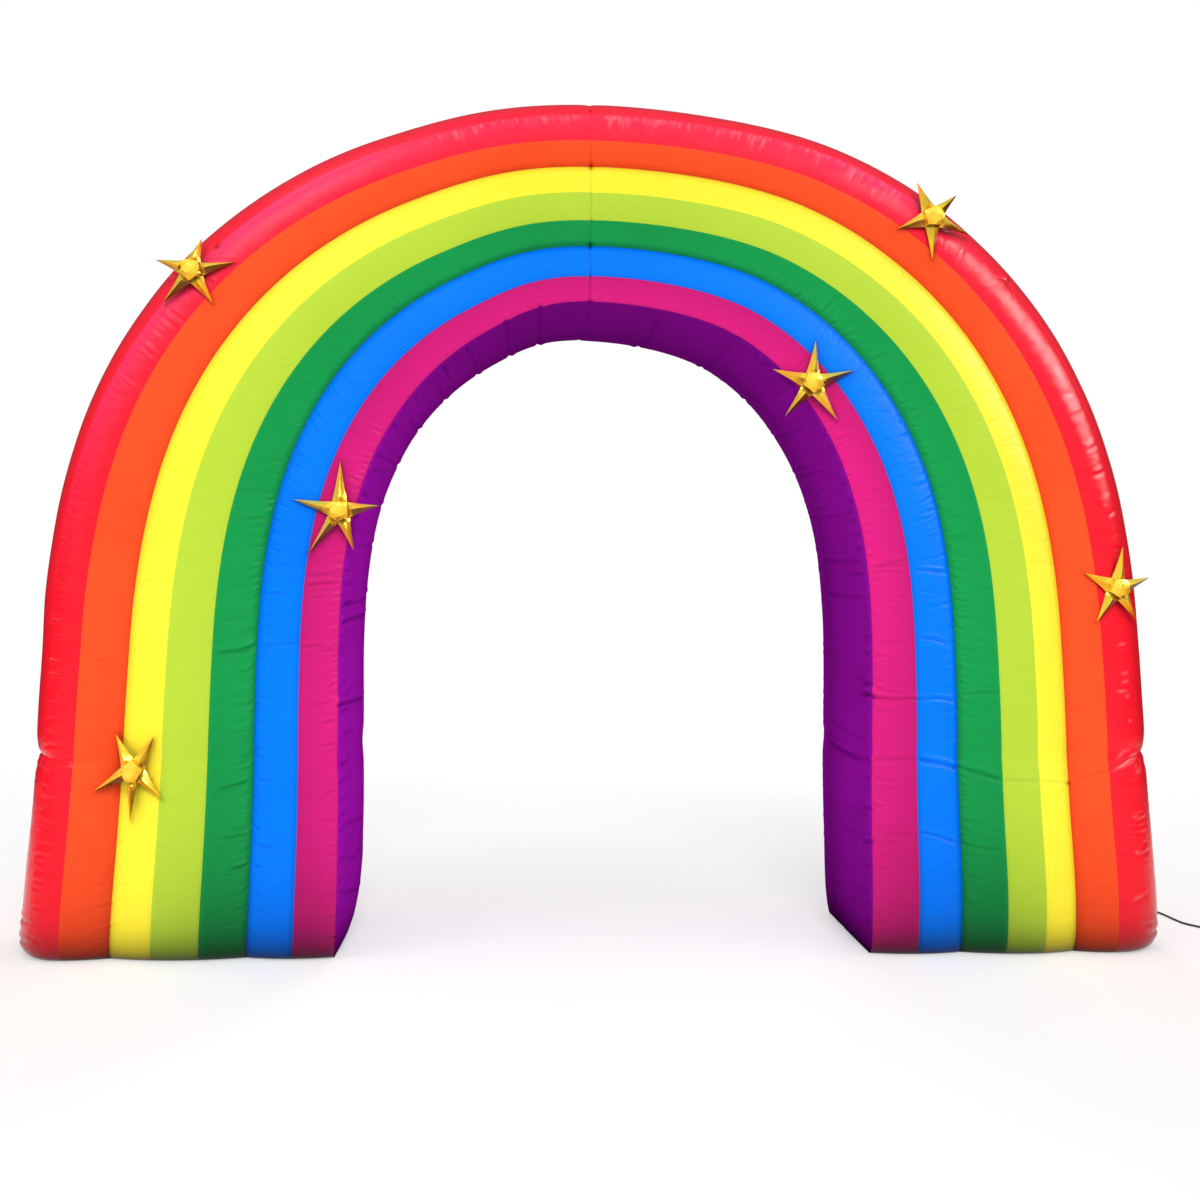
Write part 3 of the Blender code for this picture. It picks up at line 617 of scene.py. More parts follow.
# ------------------------------------------------------------------ creases and wrinkles
# Each line runs through (position, q) points: the height along a leg or the place round the crown, and
# the place across the bands. depth and width are of its trough in metres. lean puts the ridge beside
# the trough above (1), below (-1) or on both sides (0). fade is the share of the line that tapers away
# at its start and at its end; a start of 0.05 or less doesn't taper.
Crease = namedtuple("Crease", "side line depth width lean fade")
CREASES = (
    # left leg: the deep tuck that runs in from the rim
    Crease(-1, ((0.528, -0.6), (0.518, 0.0), (0.512, 0.5), (0.508, 1.0), (0.503, 1.5), (0.497, 2.0)),
           0.0056, 0.0075, -1, (0.2, 0.3)),
    Crease(-1, ((0.508, -0.5), (0.505, 0.1), (0.499, 0.9), (0.497, 1.4)), 0.003, 0.005, 0, (0.3, 0.6)),
    Crease(-1, ((0.757, 1.1), (0.76, 1.5), (0.757, 1.95)), 0.0016, 0.005, 1, (0.5, 0.2)),
    Crease(-1, ((0.64, 1.2), (0.634, 1.6), (0.628, 1.95)), 0.0009, 0.005, -1, (0.6, 0.3)),
    Crease(-1, ((0.8, 2.1), (0.797, 2.5), (0.8, 2.8)), 0.0008, 0.0045, 1, (0.3, 0.6)),
    Crease(-1, ((0.97, 5.9), (0.976, 6.3), (0.99, 6.96)), 0.0026, 0.0048, 1, (0.4, 0.1)),
    Crease(-1, ((0.894, 6.95), (0.9, 7.1), (0.912, 7.4), (0.935, 7.9)), 0.004, 0.006, 1, (0.1, 0.2)),
    Crease(-1, ((1.005, 1.15), (1.004, 1.5), (0.996, 1.95)), 0.0014, 0.0055, 1, (0.5, 0.2)),
    # left foot: the rim's corner is pinched, and the cloth is drawn to it
    Crease(-1, ((0.098, -0.3), (0.104, 0.1), (0.108, 0.45)), 0.0055, 0.006, 0, (0.3, 0.6)),
    Crease(-1, ((0.04, -0.3), (0.052, 0.1), (0.072, 0.35)), 0.006, 0.006, 0, (0.3, 0.6)),
    Crease(-1, ((0.07, 0.05), (0.066, 0.3), (0.05, 0.75)), 0.0018, 0.005, 1, (0.2, 0.6)),
    Crease(-1, ((0.11, 0.15), (0.122, 0.4), (0.128, 0.8)), 0.0016, 0.005, 1, (0.2, 0.6)),
    # right leg: the crease right across
    Crease(1, ((0.545, -0.75), (0.533, -0.3), (0.526, 0.0)), 0.0032, 0.008, -1, (0.3, 0.1)),
    Crease(1, ((0.526, 0.0), (0.516, 0.4), (0.488, 1.0), (0.47, 1.5), (0.452, 2.0)),
           0.003, 0.0058, 0, (0.1, 0.1)),
    Crease(1, ((0.45, 2.0), (0.455, 2.5), (0.459, 3.1), (0.463, 4.0)), 0.0024, 0.0046, 1, (0.05, 0.05)),
    Crease(1, ((0.462, 4.0), (0.476, 4.5), (0.49, 4.97)), 0.0056, 0.0055, 1, (0.1, 0.05)),
    Crease(1, ((0.491, 5.03), (0.504, 5.5), (0.515, 6.0)), 0.006, 0.0055, 1, (0.05, 0.1)),
    Crease(1, ((0.517, 6.0), (0.514, 6.5), (0.509, 6.97)), 0.004, 0.0055, 1, (0.2, 0.05)),
    Crease(1, ((0.509, 7.02), (0.512, 7.3), (0.52, 7.8)), 0.006, 0.0065, 1, (0.05, 0.2)),
    Crease(1, ((1.016, 6.95), (1.022, 6.4), (1.024, 5.6)), 0.0022, 0.0048, 1, (0.1, 0.6)),
    Crease(1, ((0.56, 7.03), (0.572, 7.35), (0.59, 7.75)), 0.0032, 0.006, 1, (0.1, 0.4)),
    Crease(1, ((0.935, 7.03), (0.94, 7.35), (0.955, 7.8)), 0.0038, 0.006, 1, (0.1, 0.3)),
    Crease(1, ((1.045, 7.03), (1.052, 7.35), (1.07, 7.8)), 0.0038, 0.006, 1, (0.1, 0.3)),
    # right leg: puckers that fan out under the rim's notch
    Crease(1, ((0.516, 0.05), (0.5, 0.3), (0.485, 0.62)), 0.003, 0.0038, 0, (0.1, 0.6)),
    Crease(1, ((0.514, 0.05), (0.488, 0.22), (0.468, 0.45)), 0.0034, 0.0036, 0, (0.1, 0.6)),
    Crease(1, ((0.512, 0.03), (0.48, 0.12), (0.455, 0.26)), 0.0034, 0.0036, 0, (0.1, 0.6)),
    Crease(1, ((0.51, -0.03), (0.476, -0.02), (0.45, -0.02)), 0.003, 0.004, 0, (0.1, 0.6)),
    Crease(1, ((0.52, 0.1), (0.512, 0.45), (0.506, 0.85)), 0.0024, 0.004, 0, (0.1, 0.6)),
    Crease(1, ((0.137, 0.85), (0.15, 0.5), (0.17, 0.1)), 0.0024, 0.005, 1, (0.4, 0.3)),
    Crease(1, ((0.262, 0.6), (0.268, 0.3), (0.276, 0.0)), 0.003, 0.0045, 1, (0.5, 0.2)),
    Crease(1, ((0.352, 0.5), (0.358, 0.2), (0.362, 0.0)), 0.002, 0.0045, 1, (0.5, 0.2)),
    # right foot: the rim's corner
    Crease(1, ((0.05, -0.3), (0.056, 0.1), (0.066, 0.4)), 0.005, 0.006, 0, (0.3, 0.6)),
    Crease(1, ((0.078, 0.0), (0.084, 0.3), (0.088, 0.6)), 0.0028, 0.0045, 1, (0.2, 0.6)),
    # small knots where threads pull the rim seam, and where the crown's seam crosses it
    Crease(-1, ((1.392, -0.16), (1.394, 0.0), (1.39, 0.3)), 0.005, 0.006, 0, (0.4, 0.6)),
    Crease(1, ((1.426, -0.1), (1.424, 0.08), (1.418, 0.34)), 0.006, 0.006, 0, (0.3, 0.6)),
    Crease(1, ((1.424, 0.1), (1.412, 0.22), (1.396, 0.42)), 0.003, 0.0042, 0, (0.1, 0.6)),
    Crease(1, ((1.424, 0.1), (1.436, 0.2), (1.446, 0.4)), 0.0024, 0.0042, 0, (0.1, 0.6)),
    # tucks across the soffit
    Crease(-1, ((1.955, 6.97), (1.955, 7.5), (1.957, 8.0)), 0.0036, 0.006, 1, (0.02, 0.02)),
    Crease(-1, ((1.839, 6.99), (1.841, 7.5), (1.846, 8.0)), 0.0033, 0.0056, 1, (0.05, 0.02)),
    Crease(-1, ((1.722, 7.02), (1.724, 7.5), (1.728, 8.0)), 0.0031, 0.0056, 1, (0.15, 0.02)),
    Crease(-1, ((1.6, 7.05), (1.602, 7.5), (1.606, 8.0)), 0.0028, 0.0056, 1, (0.2, 0.02)),
    Crease(-1, ((1.48, 7.1), (1.484, 7.5), (1.49, 8.0)), 0.0024, 0.0056, 1, (0.2, 0.02)),
    Crease(-1, ((1.35, 7.05), (1.356, 7.5), (1.362, 8.0)), 0.0024, 0.0056, 1, (0.2, 0.05)),
    Crease(-1, ((1.21, 7.05), (1.216, 7.5), (1.226, 8.0)), 0.0021, 0.0056, 1, (0.2, 0.1)),
    Crease(-1, ((1.08, 7.05), (1.09, 7.5), (1.1, 8.0)), 0.0021, 0.0056, 1, (0.2, 0.1)),
    Crease(1, ((1.94, 6.9), (1.94, 7.0), (1.945, 7.5), (1.95, 8.0)), 0.0036, 0.0062, 1, (0.1, 0.02)),
    Crease(1, ((1.77, 7.02), (1.774, 7.5), (1.782, 8.0)), 0.0033, 0.0056, 1, (0.05, 0.02)),
    Crease(1, ((1.61, 7.03), (1.614, 7.5), (1.622, 8.0)), 0.0031, 0.0056, 1, (0.1, 0.02)),
    Crease(1, ((1.47, 7.05), (1.474, 7.5), (1.482, 8.0)), 0.0026, 0.0056, 1, (0.2, 0.05)),
    Crease(1, ((1.33, 7.05), (1.336, 7.5), (1.344, 8.0)), 0.0024, 0.0056, 1, (0.2, 0.05)),
    Crease(1, ((1.19, 7.05), (1.198, 7.5), (1.206, 8.0)), 0.0021, 0.0056, 1, (0.2, 0.1)),
    # wrinkles on the legs, from the outer bands to the underside
    Crease(-1, ((0.775, 4.0), (0.782, 4.54), (0.789, 4.98)), 0.006, 0.0048, 1, (0.25, 0.15)),
    Crease(-1, ((0.797, 4.77), (0.793, 4.98)), 0.0022, 0.004, 1, (0.3, 0.2)),
    Crease(-1, ((0.909, 4.54), (0.914, 4.98)), 0.0014, 0.004, 1, (0.5, 0.1)),
    Crease(-1, ((0.871, 4.34), (0.885, 4.91)), 0.0012, 0.0042, 1, (0.5, 0.2)),
    Crease(-1, ((0.649, 4.44), (0.653, 4.94)), 0.0018, 0.004, 1, (0.5, 0.1)),
    Crease(-1, ((0.561, 4.54), (0.568, 4.96)), 0.002, 0.0042, 1, (0.5, 0.1)),
    Crease(-1, ((0.439, 4.23), (0.447, 4.54), (0.458, 4.91)), 0.0048, 0.0044, 1, (0.2, 0.1)),
    Crease(-1, ((0.318, 4.23), (0.318, 4.54), (0.325, 4.96)), 0.004, 0.0042, 1, (0.3, 0.1)),
    Crease(-1, ((0.241, 4.54), (0.241, 4.77), (0.252, 4.98)), 0.0044, 0.0042, 1, (0.3, 0.1)),
    Crease(-1, ((0.218, 4.34), (0.241, 4.98)), 0.0016, 0.0044, 1, (0.3, 0.1)),
    Crease(-1, ((0.17, 4.7), (0.185, 4.98)), 0.0018, 0.0042, 1, (0.4, 0.2)),
    Crease(-1, ((0.133, 4.63), (0.147, 5.02)), 0.0018, 0.0046, 1, (0.4, 0.2)),
    Crease(-1, ((0.923, 5.17), (0.928, 5.66)), 0.003, 0.004, 1, (0.3, 0.4)),
    Crease(-1, ((0.793, 5.02), (0.801, 5.56), (0.804, 6.0)), 0.0034, 0.0042, 1, (0.1, 0.2)),
    Crease(-1, ((0.782, 5.13), (0.789, 5.37)), 0.0014, 0.0036, 1, (0.3, 0.3)),
    Crease(-1, ((0.462, 5.06), (0.462, 5.46)), 0.0034, 0.004, 1, (0.3, 0.4)),
    Crease(-1, ((0.296, 5.13), (0.296, 5.37), (0.285, 5.66)), 0.004, 0.004, 1, (0.3, 0.4)),
    Crease(-1, ((0.248, 5.06), (0.241, 5.37)), 0.002, 0.0042, 1, (0.2, 0.5)),
    Crease(-1, ((0.34, 5.04), (0.333, 5.3)), 0.0014, 0.004, 1, (0.3, 0.5)),
    Crease(-1, ((0.18, 5.09), (0.175, 5.3)), 0.0014, 0.004, 1, (0.2, 0.5)),
    Crease(-1, ((0.946, 6.0), (0.955, 6.44), (0.962, 6.96)), 0.0042, 0.0042, 1, (0.2, 0.1)),
    Crease(-1, ((0.972, 6.63), (0.981, 6.96)), 0.002, 0.0038, 1, (0.4, 0.1)),
    Crease(-1, ((0.937, 6.44), (0.944, 6.96)), 0.0018, 0.0038, 1, (0.4, 0.1)),
    Crease(-1, ((0.793, 6.0), (0.797, 6.44), (0.797, 6.77)), 0.004, 0.0042, 1, (0.1, 0.4)),
    Crease(-1, ((0.786, 6.44), (0.786, 6.7), (0.786, 6.98)), 0.0044, 0.004, 1, (0.3, 0.1)),
    Crease(-1, ((0.653, 6.34), (0.653, 6.63), (0.661, 6.94)), 0.003, 0.004, 1, (0.4, 0.1)),
    Crease(-1, ((0.756, 6.77), (0.76, 6.98)), 0.002, 0.0034, 1, (0.3, 0.1)),
    Crease(-1, ((0.734, 6.77), (0.734, 7.0)), 0.002, 0.0034, 1, (0.3, 0.1)),
    Crease(-1, ((0.697, 6.77), (0.705, 6.98)), 0.0022, 0.0034, 1, (0.3, 0.1)),
    Crease(-1, ((0.679, 6.7), (0.683, 6.98)), 0.002, 0.0034, 1, (0.3, 0.1)),
    Crease(-1, ((0.543, 6.44), (0.554, 6.91)), 0.0018, 0.004, 1, (0.4, 0.1)),
    Crease(-1, ((0.428, 6.63), (0.432, 6.91)), 0.0018, 0.0038, 1, (0.5, 0.1)),
    Crease(-1, ((0.325, 6.44), (0.329, 6.94)), 0.0018, 0.0042, 1, (0.5, 0.2)),
    Crease(-1, ((0.17, 6.63), (0.18, 6.98)), 0.0026, 0.004, 1, (0.4, 0.1)),
    Crease(-1, ((0.112, 6.7), (0.12, 7.01)), 0.0026, 0.004, 1, (0.4, 0.1)),
    Crease(-1, ((0.065, 6.77), (0.062, 7.05)), 0.004, 0.0036, 1, (0.4, 0.0)),
    Crease(-1, ((0.049, 6.83), (0.039, 7.11)), 0.004, 0.0036, 1, (0.4, 0.0)),
    Crease(-1, ((0.021, 6.91), (0.014, 7.19)), 0.0034, 0.0034, 1, (0.4, 0.0)),
    Crease(-1, ((0.859, 7.04), (0.867, 7.25), (0.871, 7.75)), 0.007, 0.006, 1, (0.05, 0.05)),
    Crease(-1, ((0.834, 7.04), (0.834, 7.25)), 0.003, 0.0055, 1, (0.2, 0.4)),
    Crease(-1, ((0.649, 7.01), (0.649, 7.19), (0.642, 7.75)), 0.007, 0.0062, 1, (0.05, 0.1)),
    Crease(-1, ((0.635, 7.04), (0.631, 7.33)), 0.003, 0.005, 1, (0.1, 0.4)),
    Crease(-1, ((0.579, 7.01), (0.568, 7.33)), 0.0034, 0.0055, 1, (0.1, 0.4)),
    Crease(-1, ((0.454, 7.01), (0.458, 7.22)), 0.0034, 0.0055, 1, (0.1, 0.4)),
    Crease(-1, ((0.344, 7.05), (0.336, 7.25), (0.303, 7.75)), 0.005, 0.006, 1, (0.2, 0.1)),
    Crease(-1, ((0.263, 7.02), (0.226, 7.41)), 0.004, 0.006, 1, (0.1, 0.3)),
    Crease(-1, ((0.17, 7.05), (0.151, 7.29), (0.099, 7.78)), 0.005, 0.0062, 1, (0.1, 0.1)),
    Crease(-1, ((0.944, 1.12), (0.944, 1.44), (0.942, 1.87)), 0.0014, 0.0042, 1, (0.4, 0.3)),
    Crease(-1, ((0.738, 1.23), (0.738, 1.63), (0.738, 1.96)), 0.0016, 0.0042, 1, (0.3, 0.1)),
    Crease(-1, ((0.937, 2.09), (0.937, 2.66)), 0.0012, 0.0042, 1, (0.4, 0.5)),
    Crease(-1, ((0.775, 2.17), (0.775, 2.88)), 0.001, 0.0042, 1, (0.4, 0.4)),
    Crease(-1, ((0.142, 1.7), (0.147, 1.94), (0.156, 2.09)), 0.002, 0.0042, 1, (0.4, 0.1)),
    Crease(-1, ((0.084, 1.87), (0.099, 2.13)), 0.0018, 0.004, 1, (0.4, 0.1)),
    Crease(-1, ((0.76, 0.1), (0.753, 0.56)), 0.004, 0.0042, 1, (0.2, 0.5)),
    Crease(-1, ((0.859, -0.02), (0.852, 0.73)), 0.0026, 0.0042, 1, (0.2, 0.5)),
    Crease(-1, ((0.727, 0.07), (0.719, 0.82)), 0.003, 0.0042, 1, (0.2, 0.5)),
    Crease(1, ((0.672, 6.98), (0.668, 6.54), (0.672, 6.0)), 0.0046, 0.0042, 1, (0.05, 0.1)),
    Crease(1, ((1.02, 6.83), (1.015, 6.34), (1.006, 6.0)), 0.0022, 0.004, 1, (0.2, 0.3)),
    Crease(1, ((0.812, 6.94), (0.815, 6.54), (0.819, 6.0)), 0.0016, 0.004, 1, (0.2, 0.4)),
    Crease(1, ((0.638, 6.94), (0.638, 6.34)), 0.0014, 0.0038, 1, (0.2, 0.5)),
    Crease(1, ((0.528, 6.96), (0.521, 6.54)), 0.0018, 0.004, 1, (0.2, 0.5)),
    Crease(1, ((0.432, 6.87), (0.439, 6.7), (0.447, 6.44)), 0.002, 0.0042, 1, (0.2, 0.4)),
    Crease(1, ((0.318, 6.91), (0.325, 6.44), (0.318, 6.0)), 0.0026, 0.0044, 1, (0.1, 0.1)),
    Crease(1, ((0.299, 6.91), (0.307, 6.34)), 0.0018, 0.004, 1, (0.2, 0.5)),
    Crease(1, ((0.241, 6.94), (0.233, 6.63)), 0.0018, 0.004, 1, (0.1, 0.5)),
    Crease(1, ((0.099, 6.94), (0.087, 6.54)), 0.0022, 0.0042, 1, (0.1, 0.5)),
    Crease(1, ((0.995, 5.88), (0.992, 5.56), (0.981, 5.09)), 0.0036, 0.004, 1, (0.2, 0.3)),
    Crease(1, ((0.944, 5.88), (0.937, 5.37)), 0.0016, 0.0038, 1, (0.3, 0.5)),
    Crease(1, ((0.826, 6.0), (0.823, 5.56), (0.808, 5.13)), 0.0036, 0.0042, 1, (0.2, 0.3)),
    Crease(1, ((0.668, 6.0), (0.672, 5.56), (0.664, 5.04)), 0.004, 0.0042, 1, (0.05, 0.1)),
    Crease(1, ((0.329, 6.0), (0.322, 5.66), (0.296, 5.09)), 0.0042, 0.0044, 1, (0.1, 0.1)),
    Crease(1, ((0.679, 4.94), (0.686, 4.44), (0.686, 3.93)), 0.003, 0.004, 1, (0.1, 0.2)),
    Crease(1, ((0.657, 4.91), (0.668, 4.54)), 0.0018, 0.0038, 1, (0.2, 0.5)),
    Crease(1, ((0.797, 4.94), (0.793, 4.54)), 0.0022, 0.004, 1, (0.1, 0.5)),
    Crease(1, ((0.935, 4.94), (0.932, 4.63)), 0.0016, 0.0038, 1, (0.1, 0.5)),
    Crease(1, ((0.299, 5.04), (0.288, 4.63), (0.281, 4.0)), 0.003, 0.0042, 1, (0.1, 0.3)),
    Crease(1, ((0.266, 5.0), (0.266, 4.34)), 0.0018, 0.004, 1, (0.1, 0.5)),
    Crease(1, ((0.826, 6.98), (0.83, 7.04), (0.83, 7.11)), 0.004, 0.006, 1, (0.1, 0.2)),
    Crease(1, ((0.675, 6.98), (0.679, 7.05), (0.679, 7.11)), 0.006, 0.006, 1, (0.05, 0.1)),
    Crease(1, ((0.712, 6.98), (0.705, 7.05), (0.705, 7.11)), 0.0036, 0.006, 1, (0.1, 0.2)),
    Crease(1, ((0.388, 6.96), (0.384, 7.04), (0.377, 7.11)), 0.0044, 0.006, 1, (0.1, 0.2)),
    Crease(1, ((0.303, 6.96), (0.299, 7.04), (0.292, 7.11)), 0.0048, 0.006, 1, (0.05, 0.2)),
)

# Short wrinkles on the rim of the right leg, each with a painted highlight along it: the line of each.
GLINTS = (
    ((0.808, 0.67), (0.819, 0.33)),
    ((0.734, 0.62), (0.745, 0.33)),
    ((0.712, 0.62), (0.723, 0.33)),
    ((0.69, 0.77), (0.694, 0.38)),
    ((0.675, 0.56), (0.683, 0.33)),
    ((0.613, 0.5), (0.616, 0.33)),
    ((0.513, 0.82), (0.535, 0.62), (0.543, 0.33)),
    ((0.502, 0.56), (0.524, 0.38), (0.532, 0.1)),
    ((0.362, 0.56), (0.373, 0.27)),
    ((0.27, 0.56), (0.281, 0.38)),
    ((0.147, 0.73), (0.161, 0.5), (0.17, 0.27)),
    ((0.055, 0.33), (0.069, 0.07)),
)
GLINT_DEPTH = 0.0012
GLINT_WIDTH = 0.0030
GLINT_FADE = (0.3, 0.6)
# how light the painted highlight along each is (below 0)
GLINT_PAINTED_LIGHT = -0.342

# Small, deep puckers: where each is, how deep, how wide and how dark the painted shade in it is.
Knot = namedtuple("Knot", "side position q depth width tone")
KNOTS = (
    Knot(1, 1.426, 0.14, 0.003, 0.0095, 1.6),
    Knot(-1, 1.462, 0.25, 0.0036, 0.0105, 1.6),
    Knot(-1, 0.505, 0.02, 0.002, 0.008, 0.5),
    Knot(1, 0.45, 2.0, 0.0016, 0.006, 0.9),
    Knot(-1, 0.055, -0.02, 0.002, 0.008, 0.6),
    Knot(-1, 0.107, 0.05, 0.0016, 0.006, 0.5),
)

# Fine lines that lie across a band, scattered between two positions and two values of q.
Scatter = namedtuple("Scatter", "side q_low q_high low high count length depth width slant seed")
SCATTERS = (
    Scatter(-1, 0.25, 0.95, 0.15, 1.45, 90, (0.03, 0.07), (0.0003, 0.0011), 0.0034, -0.12, 201),
    Scatter(-1, 1.05, 1.95, 0.1, 1.4, 40, (0.04, 0.1), (0.0003, 0.0007), 0.0038, 0.02, 202),
    Scatter(-1, 2.05, 2.95, 0.1, 1.4, 60, (0.03, 0.07), (0.0003, 0.0009), 0.0036, 0.02, 203),
    Scatter(-1, 3.05, 3.95, 0.1, 1.4, 24, (0.03, 0.07), (0.0002, 0.0006), 0.0038, 0.0, 204),
    Scatter(-1, 4.1, 4.95, 0.1, 1.7, 90, (0.03, 0.08), (0.0004, 0.0013), 0.0036, 0.24, 205),
    Scatter(-1, 5.1, 5.95, 0.1, 1.6, 70, (0.03, 0.08), (0.0004, 0.0012), 0.0036, 0.02, 206),
    Scatter(-1, 6.1, 6.95, 0.06, 1.6, 90, (0.03, 0.08), (0.0004, 0.0012), 0.0036, 0.14, 207),
    Scatter(-1, 7.05, 7.6, 0.1, 1.7, 80, (0.05, 0.18), (0.0006, 0.002), 0.005, 0.06, 208),
    Scatter(1, 0.25, 0.95, 0.15, 1.55, 80, (0.03, 0.07), (0.0003, 0.0011), 0.0034, -0.12, 211),
    Scatter(1, 0.3, 0.8, 1.22, 1.85, 54, (0.015, 0.04), (0.0003, 0.0012), 0.0028, -0.2, 220),
    Scatter(1, 1.05, 1.95, 0.1, 1.4, 30, (0.04, 0.1), (0.0003, 0.0007), 0.0038, 0.02, 212),
    Scatter(1, 2.05, 2.95, 0.1, 1.4, 50, (0.03, 0.07), (0.0003, 0.0008), 0.0036, -0.04, 213),
    Scatter(1, 3.05, 3.95, 0.1, 1.4, 24, (0.03, 0.07), (0.0002, 0.0006), 0.0038, 0.0, 214),
    Scatter(1, 4.1, 4.95, 0.1, 1.7, 100, (0.03, 0.08), (0.0004, 0.0013), 0.0036, 0.1, 215),
    Scatter(1, 5.1, 5.95, 0.1, 1.6, 90, (0.03, 0.08), (0.0004, 0.0013), 0.0036, -0.08, 216),
    Scatter(1, 6.1, 6.95, 0.06, 1.6, 120, (0.03, 0.08), (0.0004, 0.0013), 0.0036, 0.06, 217),
    Scatter(1, 7.05, 7.6, 0.1, 1.7, 80, (0.05, 0.18), (0.0006, 0.002), 0.005, 0.06, 218),
)

# Short wrinkles that run out from a seam. q is the seam, way the direction in q, slant how far the
# far end lies above the seam's end for each metre of length, skip the share that is left out, and
# tone how dark the painted shade in the troughs is (a painted highlight below 0).
USUAL_TONE = 0.22
FRINGE_FIELDS = "side q way low high spacing length depth width slant skip seed tone"
Fringe = namedtuple("Fringe", FRINGE_FIELDS, defaults=(USUAL_TONE,))
FRINGES = (
    # left half, front: the rim beside its outer seam
    Fringe(-1, 0, 1, 0.1, 1.45, 0.013, (0.04, 0.125), (0.0006, 0.0021), 0.0038, -0.14, 0.2, 12, 0.3),
    Fringe(-1, 0, -1, 0.05, 2.05, 0.04, (0.04, 0.08), (0.0002, 0.0007), 0.006, 0.05, 0.3, 13),
    Fringe(-1, 1, -1, 0.06, 1.1, 0.045, (0.02, 0.06), (0.0004, 0.0012), 0.004, -0.05, 0.5, 11),
    Fringe(-1, 0, 1, 1.8, 2.08, 0.01, (0.02, 0.06), (0.0002, 0.001), 0.0034, 0.02, 0.3, 22, -0.28),
    # orange and yellow, beside the seam between them
    Fringe(-1, 2, -1, 0.03, 0.28, 0.016, (0.03, 0.08), (0.0008, 0.0022), 0.004, -0.38, 0.1, 14),
    Fringe(-1, 2, -1, 0.28, 1.6, 0.045, (0.02, 0.07), (0.0004, 0.0012), 0.0038, -0.1, 0.4, 15),
    Fringe(-1, 2, 1, 0.04, 1.6, 0.02, (0.02, 0.08), (0.0005, 0.0015), 0.0036, -0.06, 0.3, 16),
    # green and blue
    Fringe(-1, 5, -1, 0.05, 1.15, 0.024, (0.03, 0.1), (0.001, 0.0034), 0.0042, -0.26, 0.15, 17),
    Fringe(-1, 5, -1, 1.15, 1.8, 0.03, (0.03, 0.08), (0.0004, 0.0015), 0.0042, -0.2, 0.25, 217, 0.3),
    Fringe(-1, 5, -1, 0.05, 1.75, 0.013, (0.015, 0.04), (0.0004, 0.0013), 0.0034, -0.24, 0.3, 117),
    Fringe(-1, 5, 1, 0.05, 1.5, 0.028, (0.02, 0.08), (0.001, 0.003), 0.004, -0.22, 0.2, 18),
    Fringe(-1, 5, 1, 0.05, 1.5, 0.016, (0.01, 0.03), (0.0004, 0.0014), 0.0034, -0.2, 0.3, 118),
    # magenta and the underside
    Fringe(-1, 7, -1, 0.05, 1.4, 0.017, (0.02, 0.07), (0.001, 0.0032), 0.0038, -0.16, 0.2, 19),
    Fringe(-1, 7, 1, 0.05, 1.75, 0.026, (0.05, 0.26), (0.0014, 0.0056), 0.006, 0.06, 0.2, 20),
    Fringe(-1, 7, 1, 0.05, 1.75, 0.015, (0.03, 0.1), (0.0008, 0.0028), 0.0044, 0.1, 0.3, 120),
    Fringe(-1, 8, -1, 0.05, 1.75, 0.034, (0.04, 0.2), (0.0008, 0.0022), 0.0055, 0.06, 0.3, 21),
    # right half, front
    Fringe(1, 0, 1, 0.1, 1.3, 0.022, (0.03, 0.09), (0.0004, 0.0014), 0.004, -0.14, 0.35, 32, 0.3),
    Fringe(1, 0, 1, 1.3, 1.62, 0.016, (0.03, 0.08), (0.0003, 0.0011), 0.0034, -0.14, 0.3, 132, 0.55),
    Fringe(1, 0, 1, 1.62, 2.08, 0.008, (0.02, 0.07), (0.0002, 0.0012), 0.0034, 0.02, 0.3, 42, -0.34),
    Fringe(1, 0, -1, 0.05, 2.05, 0.04, (0.04, 0.08), (0.0002, 0.0007), 0.006, 0.05, 0.3, 33),
    Fringe(1, 1, -1, 0.06, 1.1, 0.045, (0.02, 0.06), (0.0004, 0.0012), 0.004, -0.05, 0.5, 31),
    Fringe(1, 2, 1, 0.06, 1.6, 0.028, (0.02, 0.06), (0.0004, 0.0013), 0.0036, -0.1, 0.4, 34),
    Fringe(1, 2, -1, 0.06, 1.6, 0.045, (0.02, 0.06), (0.0004, 0.0012), 0.0038, -0.1, 0.5, 35),
    Fringe(1, 5, -1, 0.05, 1.75, 0.021, (0.02, 0.09), (0.001, 0.0032), 0.004, -0.16, 0.15, 36),
    Fringe(1, 5, -1, 0.05, 1.75, 0.012, (0.015, 0.04), (0.0005, 0.0016), 0.0034, -0.16, 0.3, 136),
    Fringe(1, 5, 1, 0.05, 1.6, 0.028, (0.02, 0.08), (0.0008, 0.0026), 0.004, -0.16, 0.3, 37),
    Fringe(1, 7, -1, 0.05, 1.5, 0.018, (0.02, 0.1), (0.0008, 0.003), 0.0038, -0.16, 0.1, 38),
    Fringe(1, 7, -1, 0.05, 1.5, 0.01, (0.015, 0.04), (0.0005, 0.0016), 0.0034, -0.14, 0.3, 138),
    Fringe(1, 7, 1, 0.05, 1.75, 0.024, (0.05, 0.26), (0.0014, 0.0056), 0.006, 0.06, 0.15, 39),
    Fringe(1, 7, 1, 0.05, 1.75, 0.014, (0.03, 0.1), (0.0008, 0.0028), 0.0044, 0.1, 0.3, 139),
    Fringe(1, 8, -1, 0.05, 1.75, 0.034, (0.04, 0.2), (0.0008, 0.0022), 0.0055, 0.06, 0.3, 40),
    # the soffit of the crown, finer
    Fringe(-1, 7, 1, 1.75, 2.05, 0.012, (0.03, 0.1), (0.0005, 0.0014), 0.004, 0.02, 0.3, 121),
    Fringe(1, 7, 1, 1.75, 2.05, 0.012, (0.03, 0.1), (0.0005, 0.0014), 0.004, 0.02, 0.3, 141),
)
